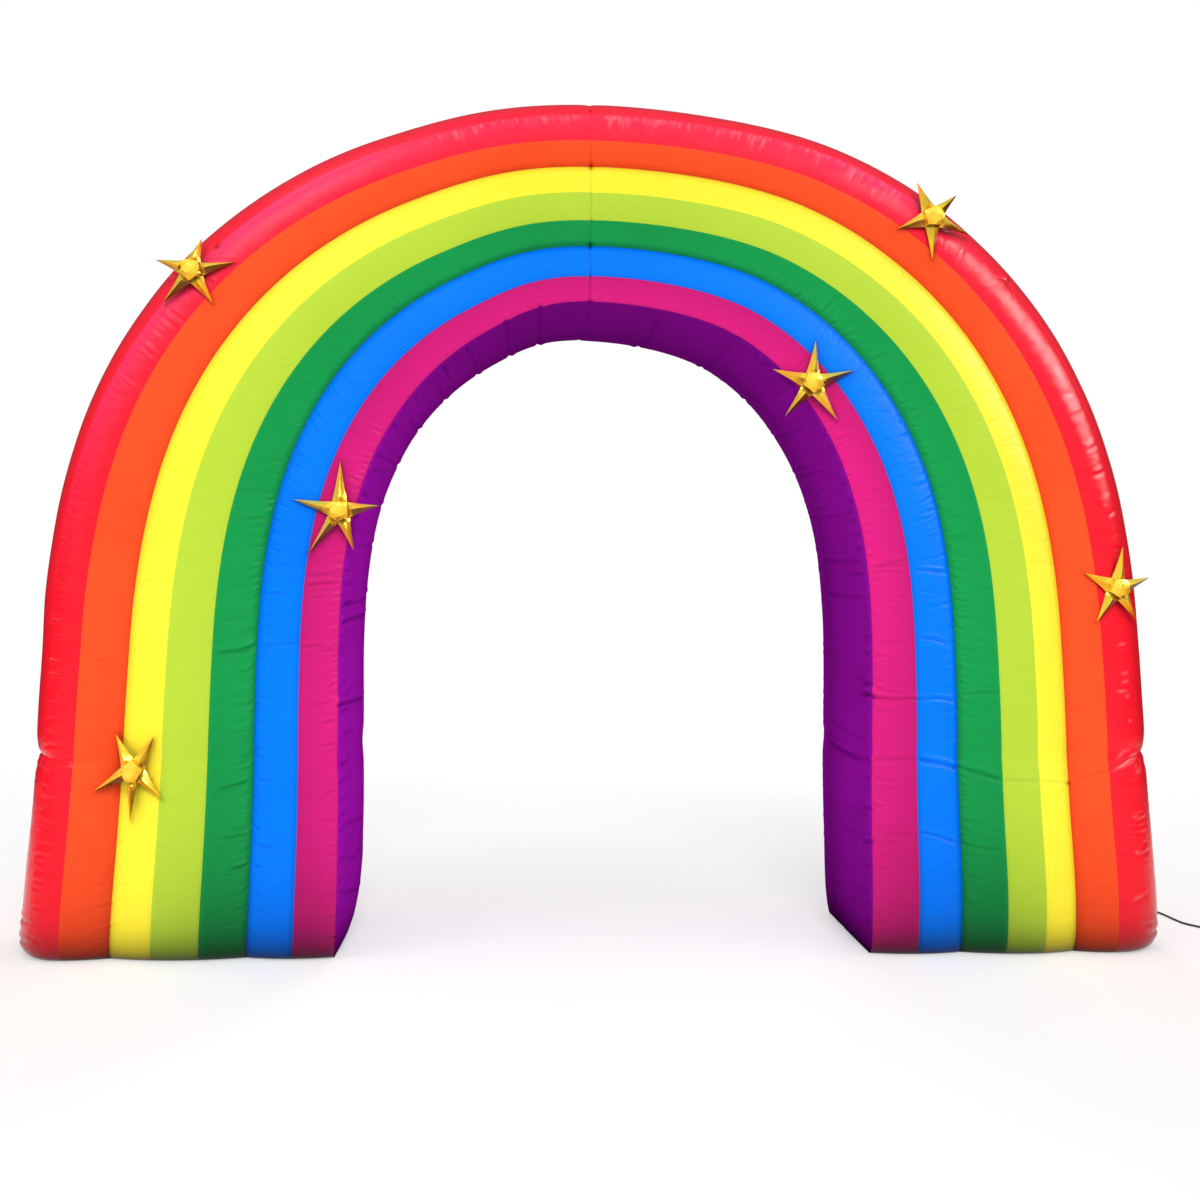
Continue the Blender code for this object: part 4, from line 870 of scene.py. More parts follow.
# The back's, more plainly: q of the seam, the direction, the spacing, the lengths and the depths.
BACK_SEAMS = (
    (10, -1, 0.04, (0.03, 0.08), (0.0007, 0.002)),
    (10, 1, 0.04, (0.03, 0.08), (0.0007, 0.002)),
    (13, -1, 0.04, (0.03, 0.08), (0.0007, 0.002)),
    (13, 1, 0.04, (0.03, 0.08), (0.0007, 0.002)),
    (8, 1, 0.035, (0.03, 0.08), (0.0007, 0.002)),
    (-1, -1, 0.035, (0.03, 0.1), (0.0006, 0.0018)),
)
FRINGES += tuple(
    Fringe(side, q, way, 0.05, 2.0, spacing, length, depth, 0.0060, 0.0, 0.3, first_seed + number)
    for side, first_seed in ((-1, 51), (1, 61))
    for number, (q, way, spacing, length, depth) in enumerate(BACK_SEAMS)
)

# Painted shade on the legs, by q: how much darker they are towards the floor, lighter where below 0.
PAINTED_LEG_SHADE = (
    (-2.00, 0.05), (0.00, 0.03), (0.99, 0.03), (1.01, 0.14), (1.50, 0.14), (1.99, 0.20), (2.01, -0.20),
    (2.60, -0.20), (2.99, -0.10), (3.01, 0.10), (3.99, 0.20), (4.01, 0.52), (4.99, 0.52), (5.01, 0.10),
    (5.99, 0.14), (6.01, 0.42), (6.60, 0.42), (6.99, 0.32), (7.01, 0.26), (8.00, 0.26), (14.0, 0.20),
)
# Painted shade just over the floor: how the cloth darkens there, by height.
PAINTED_FLOOR_SHADE = (
    (0.000, 0.04), (0.004, 0.08), (0.010, 0.14), (0.021, 0.24), (0.034, 0.34), (0.049, 0.44),
    (0.067, 0.55), (0.093, 0.69), (0.119, 0.77), (0.158, 0.84), (0.260, 0.93), (0.400, 1.00),
)
# Painted light and shade across each band, by q.
PAINTED_BAND_SHADING = (
    (-2.00, 1.00), (-1.00, 0.96), (0.00, 1.00), (1.00, 1.00),
    (1.70, 1.00), (1.99, 0.92), (2.01, 0.94), (2.25, 1.00), (2.99, 1.00), (3.01, 1.00), (3.99, 0.97),
    (4.01, 0.88), (4.50, 0.94), (4.90, 1.00), (5.01, 0.93), (5.20, 0.98), (5.60, 1.00), (5.99, 0.94),
    (6.01, 0.78), (6.35, 0.88), (6.80, 1.00), (6.99, 1.02), (7.01, 1.10), (7.35, 1.02), (7.66, 0.76),
    (7.85, 0.86), (8.00, 1.06), (8.20, 1.00), (14.0, 1.00),
)

# Parts of the cloth that take painted light and shade, with soft edges: between which values of q each
# begins, and ends.
ON_FRONT = ((0.8, 1.2), (7.5, 8.5))
ON_SOFFIT = ((6.99, 7.01), (7.99, 8.01))
ON_RIM_SIDE = ((-1.3, -0.9), (0.02, 0.42))
# And between which positions the crown begins and the legs end.
CROWN_BEGINS = (1.2, 2.0)
RIGHT_LEG_ENDS = (0.9, 1.3)
LEFT_LEG_ENDS = (1.1, 1.9)
PAINTED_LEG_SHADE_HEIGHT = 0.28      # over which the legs' painted shade dies away
PAINTED_CROWN_SHADE = (0.06, 0.28)  # painted shade on the front and the soffit of the crown
# painted shade on the right leg's rim side, and painted light on the left leg's soffit
PAINTED_RIGHT_RIM_SHADE = 0.10
PAINTED_LEFT_SOFFIT_LIGHT = 0.40
# The painted shadow round a star, as (how dark, how wide) of its narrow and its wide part.
PAINTED_STAR_SHADOWS = ((0.30, 0.005), (0.09, 0.020))
PAINTED_STAR_SHADOW_Y = (-0.275, -0.225)           # it fades out between these, on the rim's side
PAINTED_STAR_SHADOW_SHIFT = (0.001, -0.003)        # it lies a little to the right of the star and lower
STAR_MIDDLE = 0.026          # radius of a star's middle, and half the width of a point's root
STAR_ROOT = 0.020

# Where the rim's front seam runs: q by position, on the left half and on the right.
RIM_LINES = {
    -1: ((0.0, 0.00), (0.95, 0.00), (1.20, 0.12), (1.40, 0.24), (1.80, 0.26), (2.10, 0.20)),
    1: ((0.0, 0.00), (0.90, 0.04), (1.20, 0.10), (1.42, 0.12), (1.75, 0.16), (2.10, 0.20)),
}

# The rim's painted pink sheen: past its seam, in q, where it begins and where it starts to end; between
# which positions it begins, on the left and the right half, and over which the crown takes a share of it.
PAINTED_SHEEN_FROM = (-0.01, 0.03)
PAINTED_SHEEN_TO = 0.05
PAINTED_SHEEN_BEGINS = {-1: (0.85, 1.45), 1: (1.42, 1.70)}
PAINTED_SHEEN_FADES = (1.62, 1.9)
PAINTED_SHEEN_LOST = 0.6

# Grooves along the seams: how deep and how wide they are, in metres, and how dark the painted shade along
# the seam's line is.
Groove = namedtuple("Groove", "q depth width tone")
GROOVES = (
    Groove(-1, 0.0016, 0.0060, 0.30),
    Groove(0, 0.0012, 0.0050, 0.30),
    Groove(2, 0.0040, 0.0085, 0.80),
    Groove(5, 0.0045, 0.0085, 0.90),
    Groove(6, 0.0000, 0.0060, 0.45),
    Groove(7, 0.0018, 0.0055, 0.55),
    Groove(8, 0.0018, 0.0055, 0.55),
    Groove(10, 0.0040, 0.0110, 0.90),
    Groove(13, 0.0040, 0.0110, 0.90),
)


# Puckers where the crown's seam crosses the bands' edges: q and depth.
CROWN_PUCKERS = ((0, 0.006), (2, 0.005), (3, 0.002), (4, 0.003), (5, 0.005), (6, 0.002), (7, 0.004))

# Wide hollows across both legs, on the left and the right half: position and depth, then how strongly
# they are felt, by q.
BUCKLES = {-1: (0.515, 0.0085), 1: (0.525, 0.0090)}
BUCKLE_WIDTH = 0.034
BUCKLE_REACH = (
    (-2, 0.6), (-1, 1.0), (0, 1.0), (1, 0.8), (2, 0.35), (3.5, 0.5), (5, 0.35), (6, 0.45), (7, 0.3),
    (7.5, 0.5), (8, 0.3), (10, 0.2), (13, 0.2), (14, 0.6),
)

SWELLS = 26                  # slow waves in the cloth
SWELL_HEIGHT = 0.00022
SWELL_RATES = (7.0, 5.0, 11.0)
SWELL_SEEDS = {-1: 5, 1: 6}

SETTLE_HEIGHT = 0.012        # below which the cloth's unevenness dies away

# How a crease is pressed. Places and widths are in widths of its trough where nothing else is said.
LINE_STEPS = 6               # steps between two points of a crease
CREASE_REACH = 5             # how far it is felt along the arch
CREASE_SPARE = 0.004         # and this much of a position farther
COLUMNS_BESIDE = 6           # columns that are worked out on either side of it
NO_TAPER = 0.05              # a start of this share or less doesn't taper
RIDGE_AT = 2.0               # where the ridge beside the trough runs
RIDGE_WIDTH = 1.15
EVEN_RIDGE = 0.35            # the ridge's height as a share of the depth, where both sides are alike,
LEANING_RIDGE = 0.62         # where the crease leans to that side,
OTHER_RIDGE = 0.10           # and across from there
DARK_CORE = 0.5              # how wide its painted shade line is

# How the short wrinkles beside a seam differ from each other.
FRINGE_STEPS = (0.45, 1.6)   # from one to the next, as a share of their spacing
FRINGE_FEW_LONG = 1.6        # the higher, the fewer long ones there are
FRINGE_FEW_DEEP = 1.4
FRINGE_TILT = 0.14           # up or down, for each metre of its length
FRINGE_BOW = 0.12            # how far its middle can bow
FRINGE_BOW_SHARE = 0.3       # and the share of that it takes
FRINGE_WIDTHS = (0.8, 1.35)
FRINGE_FADE = (0.22, 0.70)
FRINGE_LEANS_BACK = 0.3      # share that leans the other way
PAST_RIM = 0.06              # where it starts beside the rim's seam, as a share of the band's width,
PAST_SEAM = 0.015            # and beside any other

# How the fine lines across a band differ from each other.
SCATTER_FEW_DEEP = 1.6
SCATTER_TILT = 0.07
SCATTER_WIDTHS = (0.8, 1.4)
SCATTER_FADE = (0.4, 0.4)
SCATTER_PAST = 0.04          # how far one runs past its band, as a share of the band's width
SCATTER_TONE = 0.16          # how dark the painted shade in the deepest is,
PALE_BANDS = (1, 4)          # and how dark on the pale bands, from q to q
SCATTER_PALE_TONE = 0.08
HALF_BAND = 0.5              # a step in q that stays on one band

# The seams' grooves and their lines of painted shade. Those over the crown run from front to back.
RIM_CALM = 0.3               # the share of the rim's groove that is left on the legs,
RIM_CALM_TO = (0.9, 1.3)     # up to between these positions
SEAM_LINE_WIDTH = 0.0022
CROWN_FROM = 1.6             # position above which the crown's seam is pressed in
CROWN_GROOVES = ((0.0016, 0.0045), (0.0012, 0.020))      # depth and width of its narrow and wide part
CROWN_LINE = (0.34, 0.0016)  # how dark and how wide its line of painted shade is
PUCKER_WIDTH = 0.0060
# how dark and how wide the painted shade in each pucker is
PUCKER_LINE = (0.9, 0.0032)


class Cloth:
    """One half's grid of points, and what is pressed into it."""

    def __init__(self, side):
        self.side = side
        self.p, self.q, self.points = base_shape(side)
        self.normals = loop_normals(self.points, side)
        self.pushed = np.zeros(self.points.shape[:2])
        # painted shade along seams, creases and puckers, with painted highlights below 0
        self.dark = np.zeros(self.points.shape[:2])
        # painted light and shade over the whole cloth
        self.tone = self.painted_shading()
        span = np.linalg.norm(np.diff(self.points, axis=0), axis=2)
        self.along = np.concatenate([np.zeros((1, len(self.q))), np.cumsum(span, axis=0)])
        closed = np.concatenate([self.points, self.points[:, :1]], axis=1)
        span = np.linalg.norm(np.diff(closed, axis=1), axis=2)
        self.across = np.concatenate([np.zeros((len(self.p), 1)), np.cumsum(span, axis=1)], axis=1)

    def painted_shading(self):
        """Painted light and shade by height, across each band, over the crown and round the stars, from
        1, which is the plain colour.
        """
        z = self.points[..., 2]
        foot = np.interp(z, *zip(*PAINTED_FLOOR_SHADE))
        dark = np.interp(self.q, *zip(*PAINTED_LEG_SHADE))
        legs = 1 - dark[None, :] * np.exp(-z / PAINTED_LEG_SHADE_HEIGHT)
        across = np.interp(self.q, *zip(*PAINTED_BAND_SHADING))[None, :]
        front, soffit = within(self.q, *ON_FRONT), within(self.q, *ON_SOFFIT)
        high = smooth(self.p, *CROWN_BEGINS)[:, None]
        crown = 1 - (PAINTED_CROWN_SHADE[0] * front + PAINTED_CROWN_SHADE[1] * soffit)[None, :] * high
        tone = foot * legs * across * crown
        if self.side > 0:
            outer = within(self.q, *ON_RIM_SIDE)
            low = 1 - smooth(self.p, *RIGHT_LEG_ENDS)
            tone = tone * (1 - PAINTED_RIGHT_RIM_SHADE * outer[None, :] * low[:, None])
        else:
            under = smooth(self.q, *ON_SOFFIT[0])[None, :]
            low = 1 - smooth(self.p, *LEFT_LEG_ENDS)
            tone = tone * (1 + PAINTED_LEFT_SOFFIT_LIGHT * under * low[:, None])
        return tone * self.paint_star_shadows()

    def paint_star_shadows(self):
        """The soft painted shadow that each star leaves on the cloth behind it."""
        tone = np.ones(self.points.shape[:2])
        x, y, z = (self.points[..., k] for k in range(3))
        seen = 1 - smooth(y, *PAINTED_STAR_SHADOW_Y)
        for star in STARS:
            u, v = x - star.x - PAINTED_STAR_SHADOW_SHIFT[0], z - star.z - PAINTED_STAR_SHADOW_SHIFT[1]
            away = np.hypot(u, v) - STAR_MIDDLE
            for angle, reach in zip(star.angles, star.reaches):
                turned, raised = cos(radians(angle)), sin(radians(angle))
                ahead = u * turned + v * raised
                beside = np.abs(v * turned - u * raised)
                share = np.clip(ahead / reach, 0.0, 1.0)
                past_tip = ahead - share * reach
                past_edge = np.maximum(beside - STAR_ROOT * (1 - share), 0.0)
                away = np.minimum(away, np.hypot(past_tip, past_edge))
            away = np.maximum(away, 0.0)
            edge = sum(dark * np.exp(-(away / wide) ** 2) for dark, wide in PAINTED_STAR_SHADOWS)
            tone *= 1 - edge * seen
        return tone

    def painted_sheen(self):
        """The painted pink sheen on the rim's red: most just inside its seam, over the shoulders and the
        crown.
        """
        line = self.rim_line(self.p)[:, None]
        q = self.q[None, :]
        inside = within(q, (line + PAINTED_SHEEN_FROM[0], line + PAINTED_SHEEN_FROM[1]), (line + PAINTED_SHEEN_TO, 1.0))
        kept = 1 - PAINTED_SHEEN_LOST * smooth(self.p, *PAINTED_SHEEN_FADES)
        share = smooth(self.p, *PAINTED_SHEEN_BEGINS[self.side]) * kept
        return inside * share[:, None]

    def spot(self, position, q):
        """The point of the undisturbed cloth at a position and q."""
        row = np.interp(position, self.p, np.arange(len(self.p)))
        column = np.interp(q, self.q, np.arange(len(self.q)))
        r = min(int(row), len(self.p) - 2)
        c = min(int(column), len(self.q) - 2)
        u, v = row - r, column - c
        near = between(self.points[r, c], self.points[r, c + 1], v)
        far = between(self.points[r + 1, c], self.points[r + 1, c + 1], v)
        return between(near, far, u)

    def band_width(self, position, q, way):
        """Metres for one step of q, beside a seam."""
        a, b = self.spot(position, q), self.spot(position, q + way)
        return max(np.linalg.norm(b - a), 0.02)

    def press(self, line, depth, width, lean, fade, shade=0.0):
        """Presses a crease along a line of (position, q) points, and paints shade along its trough (a
        painted highlight where shade is below 0).
        """
        fine = []
        for (p0, q0), (p1, q1) in zip(line, line[1:]):
            for share in (k / LINE_STEPS for k in range(LINE_STEPS)):
                fine.append((between(p0, p1, share), between(q0, q1, share)))
        fine.append(line[-1])
        path = np.array([self.spot(*at) for at in fine])
        where_p = np.array([at[0] for at in fine])
        where_q = np.array([at[1] for at in fine])
        margin = CREASE_REACH * width + CREASE_SPARE
        rows = np.flatnonzero((self.p > where_p.min() - margin) & (self.p < where_p.max() + margin))
        first, last = np.interp((where_q.min(), where_q.max()), self.q, np.arange(len(self.q)))
        left = max(int(first) - COLUMNS_BESIDE, 0)
        right = min(int(last) + COLUMNS_BESIDE + 2, len(self.q))
        columns = np.arange(left, right)
        if len(rows) == 0 or len(columns) == 0:
            return
        rows, columns = slice(rows[0], rows[-1] + 1), slice(columns[0], columns[-1] + 1)
        cloth = self.points[rows, columns]
        best = np.full(cloth.shape[:2], np.inf)
        run = np.zeros(cloth.shape[:2])
        sideways = np.zeros(cloth.shape[:2])
        lengths = np.linalg.norm(np.diff(path, axis=0), axis=1)
        total = lengths.sum()
        walked = 0.0
        up = np.gradient(cloth, axis=0)
        up /= np.maximum(np.linalg.norm(up, axis=2, keepdims=True), 1e-12)
        for a, b, length in zip(path, path[1:], lengths):
            way = (b - a) / max(length, 1e-9)
            from_a = cloth - a
            t = np.clip(from_a @ way, 0.0, length)
            off = from_a - t[..., None] * way
            distance = np.linalg.norm(off, axis=2)
            nearer = distance < best
            best = np.where(nearer, distance, best)
            run = np.where(nearer, (walked + t) / total, run)
            sideways = np.where(nearer, np.sign((off * up).sum(axis=2)), sideways)
            walked += length
        start, end = fade[0], max(fade[1], 1e-3)
        strength = 1 - smooth(run, 1 - end, 1.0)
        if start > NO_TAPER:
            strength = smooth(run, 0.0, start) * strength
        s = best / width
        trough = np.exp(-s ** 2)
        ridge = np.exp(-((s - RIDGE_AT) / RIDGE_WIDTH) ** 2)
        leaning = np.where(sideways * lean > 0, LEANING_RIDGE, OTHER_RIDGE)
        height = EVEN_RIDGE if lean == 0 else leaning
        self.pushed[rows, columns] += depth * strength * (height * ridge - trough)
        # painted shade along the trough; below 0 a painted highlight
        core = DARK_CORE * width if shade > 0 else width
        self.dark[rows, columns] += shade * strength * np.exp(-(best / core) ** 2)

    def fringe(self, row):
        """Presses a row of short wrinkles beside a seam."""
        dice = np.random.default_rng(row.seed)
        position = row.low
        while position < row.high:
            step, size, deep, tilt, kept, wide = dice.random(6)
            stretch = self.stretch(position, row.q)
            position += row.spacing * between(*FRINGE_STEPS, step) / stretch
            if kept < row.skip or position > row.high:
                continue
            length = between(*row.length, size ** FRINGE_FEW_LONG)
            reach = length / self.band_width(position, row.q, row.way)
            rise = length * (row.slant + between(-FRINGE_TILT, FRINGE_TILT, tilt)) / stretch
            seam = self.rim_line(position) if row.q == 0 else row.q
            start = seam + (PAST_RIM if row.q == 0 else PAST_SEAM) * row.way
            bow = between(-FRINGE_BOW, FRINGE_BOW, wide) * length / stretch
            line = (
                (position, start),
                (position + 0.5 * rise + bow * FRINGE_BOW_SHARE, start + 0.5 * reach * row.way),
                (position + rise, start + reach * row.way),
            )
            depth = between(*row.depth, deep ** FRINGE_FEW_DEEP)
            width = row.width * between(*FRINGE_WIDTHS, wide)
            lean = 1 if tilt > FRINGE_LEANS_BACK else -1
            tone = row.tone * depth / row.depth[1]
            self.press(line, depth, width, lean, FRINGE_FADE, tone)

    def scatter(self, row):
        """Presses fine lines here and there across a band."""
        dice = np.random.default_rng(row.seed)
        for _ in range(row.count):
            along, across, size, deep, tilt, wide = dice.random(6)
            position = between(row.low, row.high, along)
            q = between(row.q_low, row.q_high, across)
            stretch = self.stretch(position, q)
            length = between(*row.length, size)
            reach = length / self.band_width(position, q, HALF_BAND) * HALF_BAND
            rise = length * (row.slant + between(-SCATTER_TILT, SCATTER_TILT, tilt)) / stretch
            first = max(q - reach / 2, row.q_low - SCATTER_PAST)
            last = min(q + reach / 2, row.q_high + SCATTER_PAST)
            middle = (position, (first + last) / 2)
            line = ((position - rise / 2, first), middle, (position + rise / 2, last))
            depth = between(*row.depth, deep ** SCATTER_FEW_DEEP)
            width = row.width * between(*SCATTER_WIDTHS, wide)
            pale = PALE_BANDS[0] <= row.q_low < PALE_BANDS[1]
            tone = (SCATTER_PALE_TONE if pale else SCATTER_TONE) * depth / row.depth[1]
            self.press(line, depth, width, 1, SCATTER_FADE, tone)

    def stretch(self, position, q):
        """Metres along the arch for each step of position."""
        a, b = self.spot(position - 0.01, q), self.spot(position + 0.01, q)
        return max(np.linalg.norm(b - a) / 0.02, 0.2)

    def column_of(self, q):
        return int(np.argmin(np.abs(self.q - q)))

    def rim_line(self, position):
        """q of the rim's front seam."""
        return np.interp(position, *zip(*RIM_LINES[self.side]))

    def grooves(self):
        """Presses the grooves along the seams and paints shade along their lines; the rim's is calmer on
        the legs.
        """
        loop = self.across[:, -1:]
        for groove in GROOVES:
            column = self.column_of(groove.q)
            at = self.across[:, column:column + 1]
            if groove.q == 0:
                rows = zip(self.p, self.across[:, :-1])
                at = np.array([np.interp(self.rim_line(p), self.q, a) for p, a in rows])[:, None]
            away = np.abs(self.across[:, :-1] - at)
            away = np.minimum(away, loop - away)
            share = 1.0
            if groove.q == 0:
                share = RIM_CALM + (1 - RIM_CALM) * smooth(self.p, *RIM_CALM_TO)[:, None]
            self.pushed -= share * groove.depth * np.exp(-(away / groove.width) ** 2)
            self.dark += share * groove.tone * np.exp(-(away / SEAM_LINE_WIDTH) ** 2)

    def middle_seam(self):
        """The seam over the crown, where both halves are drawn in, puckered at the bands' edges, with
        painted shade along it and in the puckers.
        """
        x = np.abs(self.points[..., 0] - CROWN_SEAM)
        high = (self.p > CROWN_FROM)[:, None]
        for depth, width in CROWN_GROOVES:
            self.pushed -= np.where(high, depth * np.exp(-(x / width) ** 2), 0.0)
        tone, width = CROWN_LINE
        self.dark += np.where(high, tone * np.exp(-(x / width) ** 2), 0.0)
        tone, width = PUCKER_LINE
        for q, depth in CROWN_PUCKERS:
            centre = self.points[-1, self.column_of(q)]
            away = np.linalg.norm(self.points - centre, axis=2)
            self.pushed -= depth * np.exp(-(away / PUCKER_WIDTH) ** 2)
            self.dark += tone * np.exp(-(away / width) ** 2)

    def soft_buckles(self):
        """The wide, shallow hollows round the deepest creases."""
        window = np.interp(self.q, *zip(*BUCKLE_REACH))
        if self.side > 0:
            window = np.where((self.q > 2) & (self.q < 8), np.maximum(window, 0.4), window)
        position, depth = BUCKLES[self.side]
        away = (self.p[:, None] - position) / BUCKLE_WIDTH
        self.pushed -= depth * np.exp(-away ** 2) * window[None, :]

    def unevenness(self):
        """Slow swells, so that nothing is perfectly regular."""
        dice = np.random.default_rng(SWELL_SEEDS[self.side])
        for _ in range(SWELLS):
            wave = dice.normal(size=3) * SWELL_RATES
            start = dice.random() * 2 * pi
            self.pushed += SWELL_HEIGHT * np.sin(self.points @ wave + start)

    def settle(self):
        """Fades everything out at the floor, so that the foot stays flat on it."""
        low = smooth(self.points[..., 2], 0.0, SETTLE_HEIGHT)
        self.pushed *= low
        self.points = self.points + self.normals * self.pushed[..., None]
        self.points[..., 2] = np.maximum(self.points[..., 2], 0.0)
        self.points[0, :, 2] = 0.0
        self.points[-1, :, 0] = CROWN_SEAM
        past = np.maximum(self.side * (self.points[..., 0] - CROWN_SEAM), 0.0)
        self.points[..., 0] = CROWN_SEAM + self.side * past

    def knot(self, row):
        """Presses a small, deep pucker, with painted shade in it."""
        away = np.linalg.norm(self.points - self.spot(row.position, row.q), axis=2)
        self.pushed -= row.depth * np.exp(-(away / row.width) ** 2)
        self.dark += row.tone * np.exp(-(away / (0.7 * row.width)) ** 2)

    def own(self, table):
        """The rows of a table that are for this half."""
        return [row for row in table if row.side == self.side]

    def finish(self):
        for crease in self.own(CREASES):
            # painted shade in each crease's trough, lighter on the bands between q 1 and 5
            shade = 0.20 if 1 < crease.line[0][1] < 5 else 0.30
            self.press(crease.line, crease.depth, crease.width, crease.lean, crease.fade, shade)
        for line in GLINTS if self.side > 0 else ():
            self.press(line, GLINT_DEPTH, GLINT_WIDTH, 0, GLINT_FADE, GLINT_PAINTED_LIGHT)
        for row in self.own(FRINGES):
            self.fringe(row)
        for row in self.own(SCATTERS):
            self.scatter(row)
        for row in self.own(KNOTS):
            self.knot(row)
        self.grooves()
        self.middle_seam()
        self.soft_buckles()
        self.unevenness()
        self.settle()


# ------------------------------------------------------------------ from grids to pieces
# The chambers' faces, as q from and q to. The first goes round the rim, from 13 past 14 and -2 to 2.
PATCHES = ((13, 2), (2, 5), (5, 7), (7, 8), (8, 10), (10, 13))


def patch_at(q):
    return next((patch for patch in PATCHES if patch[0] < q < patch[1]), PATCHES[0])


def patch_columns(cloth, low, high):
    """Column numbers from q low to q high, going round the loop where needed."""
    q = np.round(cloth.q, 6)
    if low > high:
        return np.concatenate([np.flatnonzero(q >= low), np.flatnonzero(q <= high)])
    if high == 14:
        return np.concatenate([np.flatnonzero(q >= low), [0]])
    return np.flatnonzero((q >= low) & (q <= high))


def patch_normals(cloth):
    """Shading normals, smooth across each chamber and sharp at the seams where chambers meet."""
    found = {}
    for low, high in PATCHES:
        columns = patch_columns(cloth, low, high)
        points = cloth.points[:, columns]
        normal = np.cross(np.gradient(points, axis=0), np.gradient(points, axis=1)) * cloth.side
        normal[0, :, 2] = np.minimum(normal[0, :, 2], 0.0)
        size = np.linalg.norm(normal, axis=2, keepdims=True)
        normal = normal / np.maximum(size, 1e-15)
        for number, column in enumerate(columns):
            found[(low, high), column] = normal[:, number]
    return found


def strip(cloth, normals, low, high):
    """A piece of the grid as points, normals, uv and the marks on it: painted seam and crease shade with
    painted highlights, painted broad shading and painted sheen.
    """
    patch = patch_at((low + high) / 2)
    columns = patch_columns(cloth, low, high)
    points = cloth.points[:, columns]
    normal = np.stack([normals[patch, c] for c in columns], 1)
    across = cloth.across[:, columns].copy()
    if high == 14:
        across[:, -1] = cloth.across[:, -1]
    across = across - across[:, :1]
    uv = np.stack([cloth.along[:, columns], across], -1)
    return points, normal, uv, np.stack([cloth.dark, cloth.tone, cloth.painted_sheen()])[:, :, columns]


MARK_RANGE = (-1.0, 1.6)
# painted shade on the closed ends, under the feet and between the halves
CAP_PAINTED_SHADE = 0.5


class Shell:
    """Gathers strips into one mesh."""

    def __init__(self, side):
        self.side = side
        self.points, self.normals, self.uvs, self.marks, self.faces = [], [], [], [], []
        self.caps = []
        self.count = 0

    def grid(self, points, normals, uv, marks):
        rows, columns = points.shape[:2]
        index = self.count + np.arange(rows * columns).reshape(rows, columns)
        a, b = index[:-1, :-1], index[:-1, 1:]
        c, d = index[1:, 1:], index[1:, :-1]
        order = (a, d, c, b) if self.side > 0 else (a, b, c, d)
        self.faces.append(np.stack(order, -1).reshape(-1, 4))
        self.points.append(points.reshape(-1, 3))
        self.normals.append(normals.reshape(-1, 3))
        self.uvs.append(uv.reshape(-1, 2))
        self.marks.append(marks.reshape(3, -1))
        self.count += rows * columns

    def wall(self, start, end):
        """A hidden wall between two columns of points, inside the arch."""
        pair = np.stack([start, end], 1)
        across = np.repeat((end - start)[:, None], 2, axis=1)
        normal = np.cross(np.gradient(pair, axis=0), across) * self.side
        size = np.linalg.norm(normal, axis=2, keepdims=True)
        uv = np.zeros(pair.shape[:2] + (2,))
        none, plain_tone = np.zeros(pair.shape[:2]), np.ones(pair.shape[:2])
        self.grid(pair, normal / np.maximum(size, 1e-15), uv, np.stack([none, plain_tone, none]))

    def cap(self, ring, normal, flip):
        """Closes an end with one flat face."""
        order = np.arange(len(ring))[::-1] if flip else np.arange(len(ring))
        self.caps.append(self.count + order)
        self.points.append(ring)
        self.normals.append(np.repeat(np.array([normal], float), len(ring), axis=0))
        self.uvs.append(ring[:, :2].copy())
        self.marks.append(np.array([[0.0], [CAP_PAINTED_SHADE], [0.0]]).repeat(len(ring), axis=1))
        self.count += len(ring)

    def mesh(self, name):
        mesh = bpy.data.meshes.new(name)
        points = np.concatenate(self.points)
        quads = np.concatenate(self.faces)
        sizes = [4] * len(quads) + [len(e) for e in self.caps]
        corners = np.concatenate([quads.ravel()] + self.caps).astype(np.int32)
        starts = np.concatenate([[0], np.cumsum(sizes)[:-1]]).astype(np.int32)
        mesh.vertices.add(len(points))
        mesh.vertices.foreach_set("co", points.astype(np.float32).ravel())
        mesh.loops.add(len(corners))
        mesh.loops.foreach_set("vertex_index", corners)
        mesh.polygons.add(len(sizes))
        mesh.polygons.foreach_set("loop_start", starts)
        mesh.polygons.foreach_set("loop_total", np.array(sizes, np.int32))
        mesh.update(calc_edges=True)
        mesh.validate()
        layer = mesh.uv_layers.new(name="UVMap")
        around = np.zeros(len(mesh.loops), np.int32)
        mesh.loops.foreach_get("vertex_index", around)
        uv = np.concatenate(self.uvs)[around]
        layer.data.foreach_set("uv", uv.astype(np.float32).ravel())
        marks = np.clip(np.concatenate(self.marks, axis=1), *MARK_RANGE).astype(np.float32)
        for name, values in zip(("painted_shade_and_highlights", "painted_broad_shading", "painted_rim_sheen"), marks):
            layer = mesh.attributes.new(name, "FLOAT", "POINT")
            layer.data.foreach_set("value", values)
        mesh.shade_smooth()
        mesh.normals_split_custom_set_from_vertices(np.concatenate(self.normals).tolist())
        return mesh


def add_piece(name, mesh, finish, replaced):
    """A piece that takes the place of the named CAD node."""
    mesh.materials.append(finish)
    made = bpy.data.objects.new(name, mesh)
    scene.collection.objects.link(made)
    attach(made, "root")
    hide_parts(replaced)
    return made


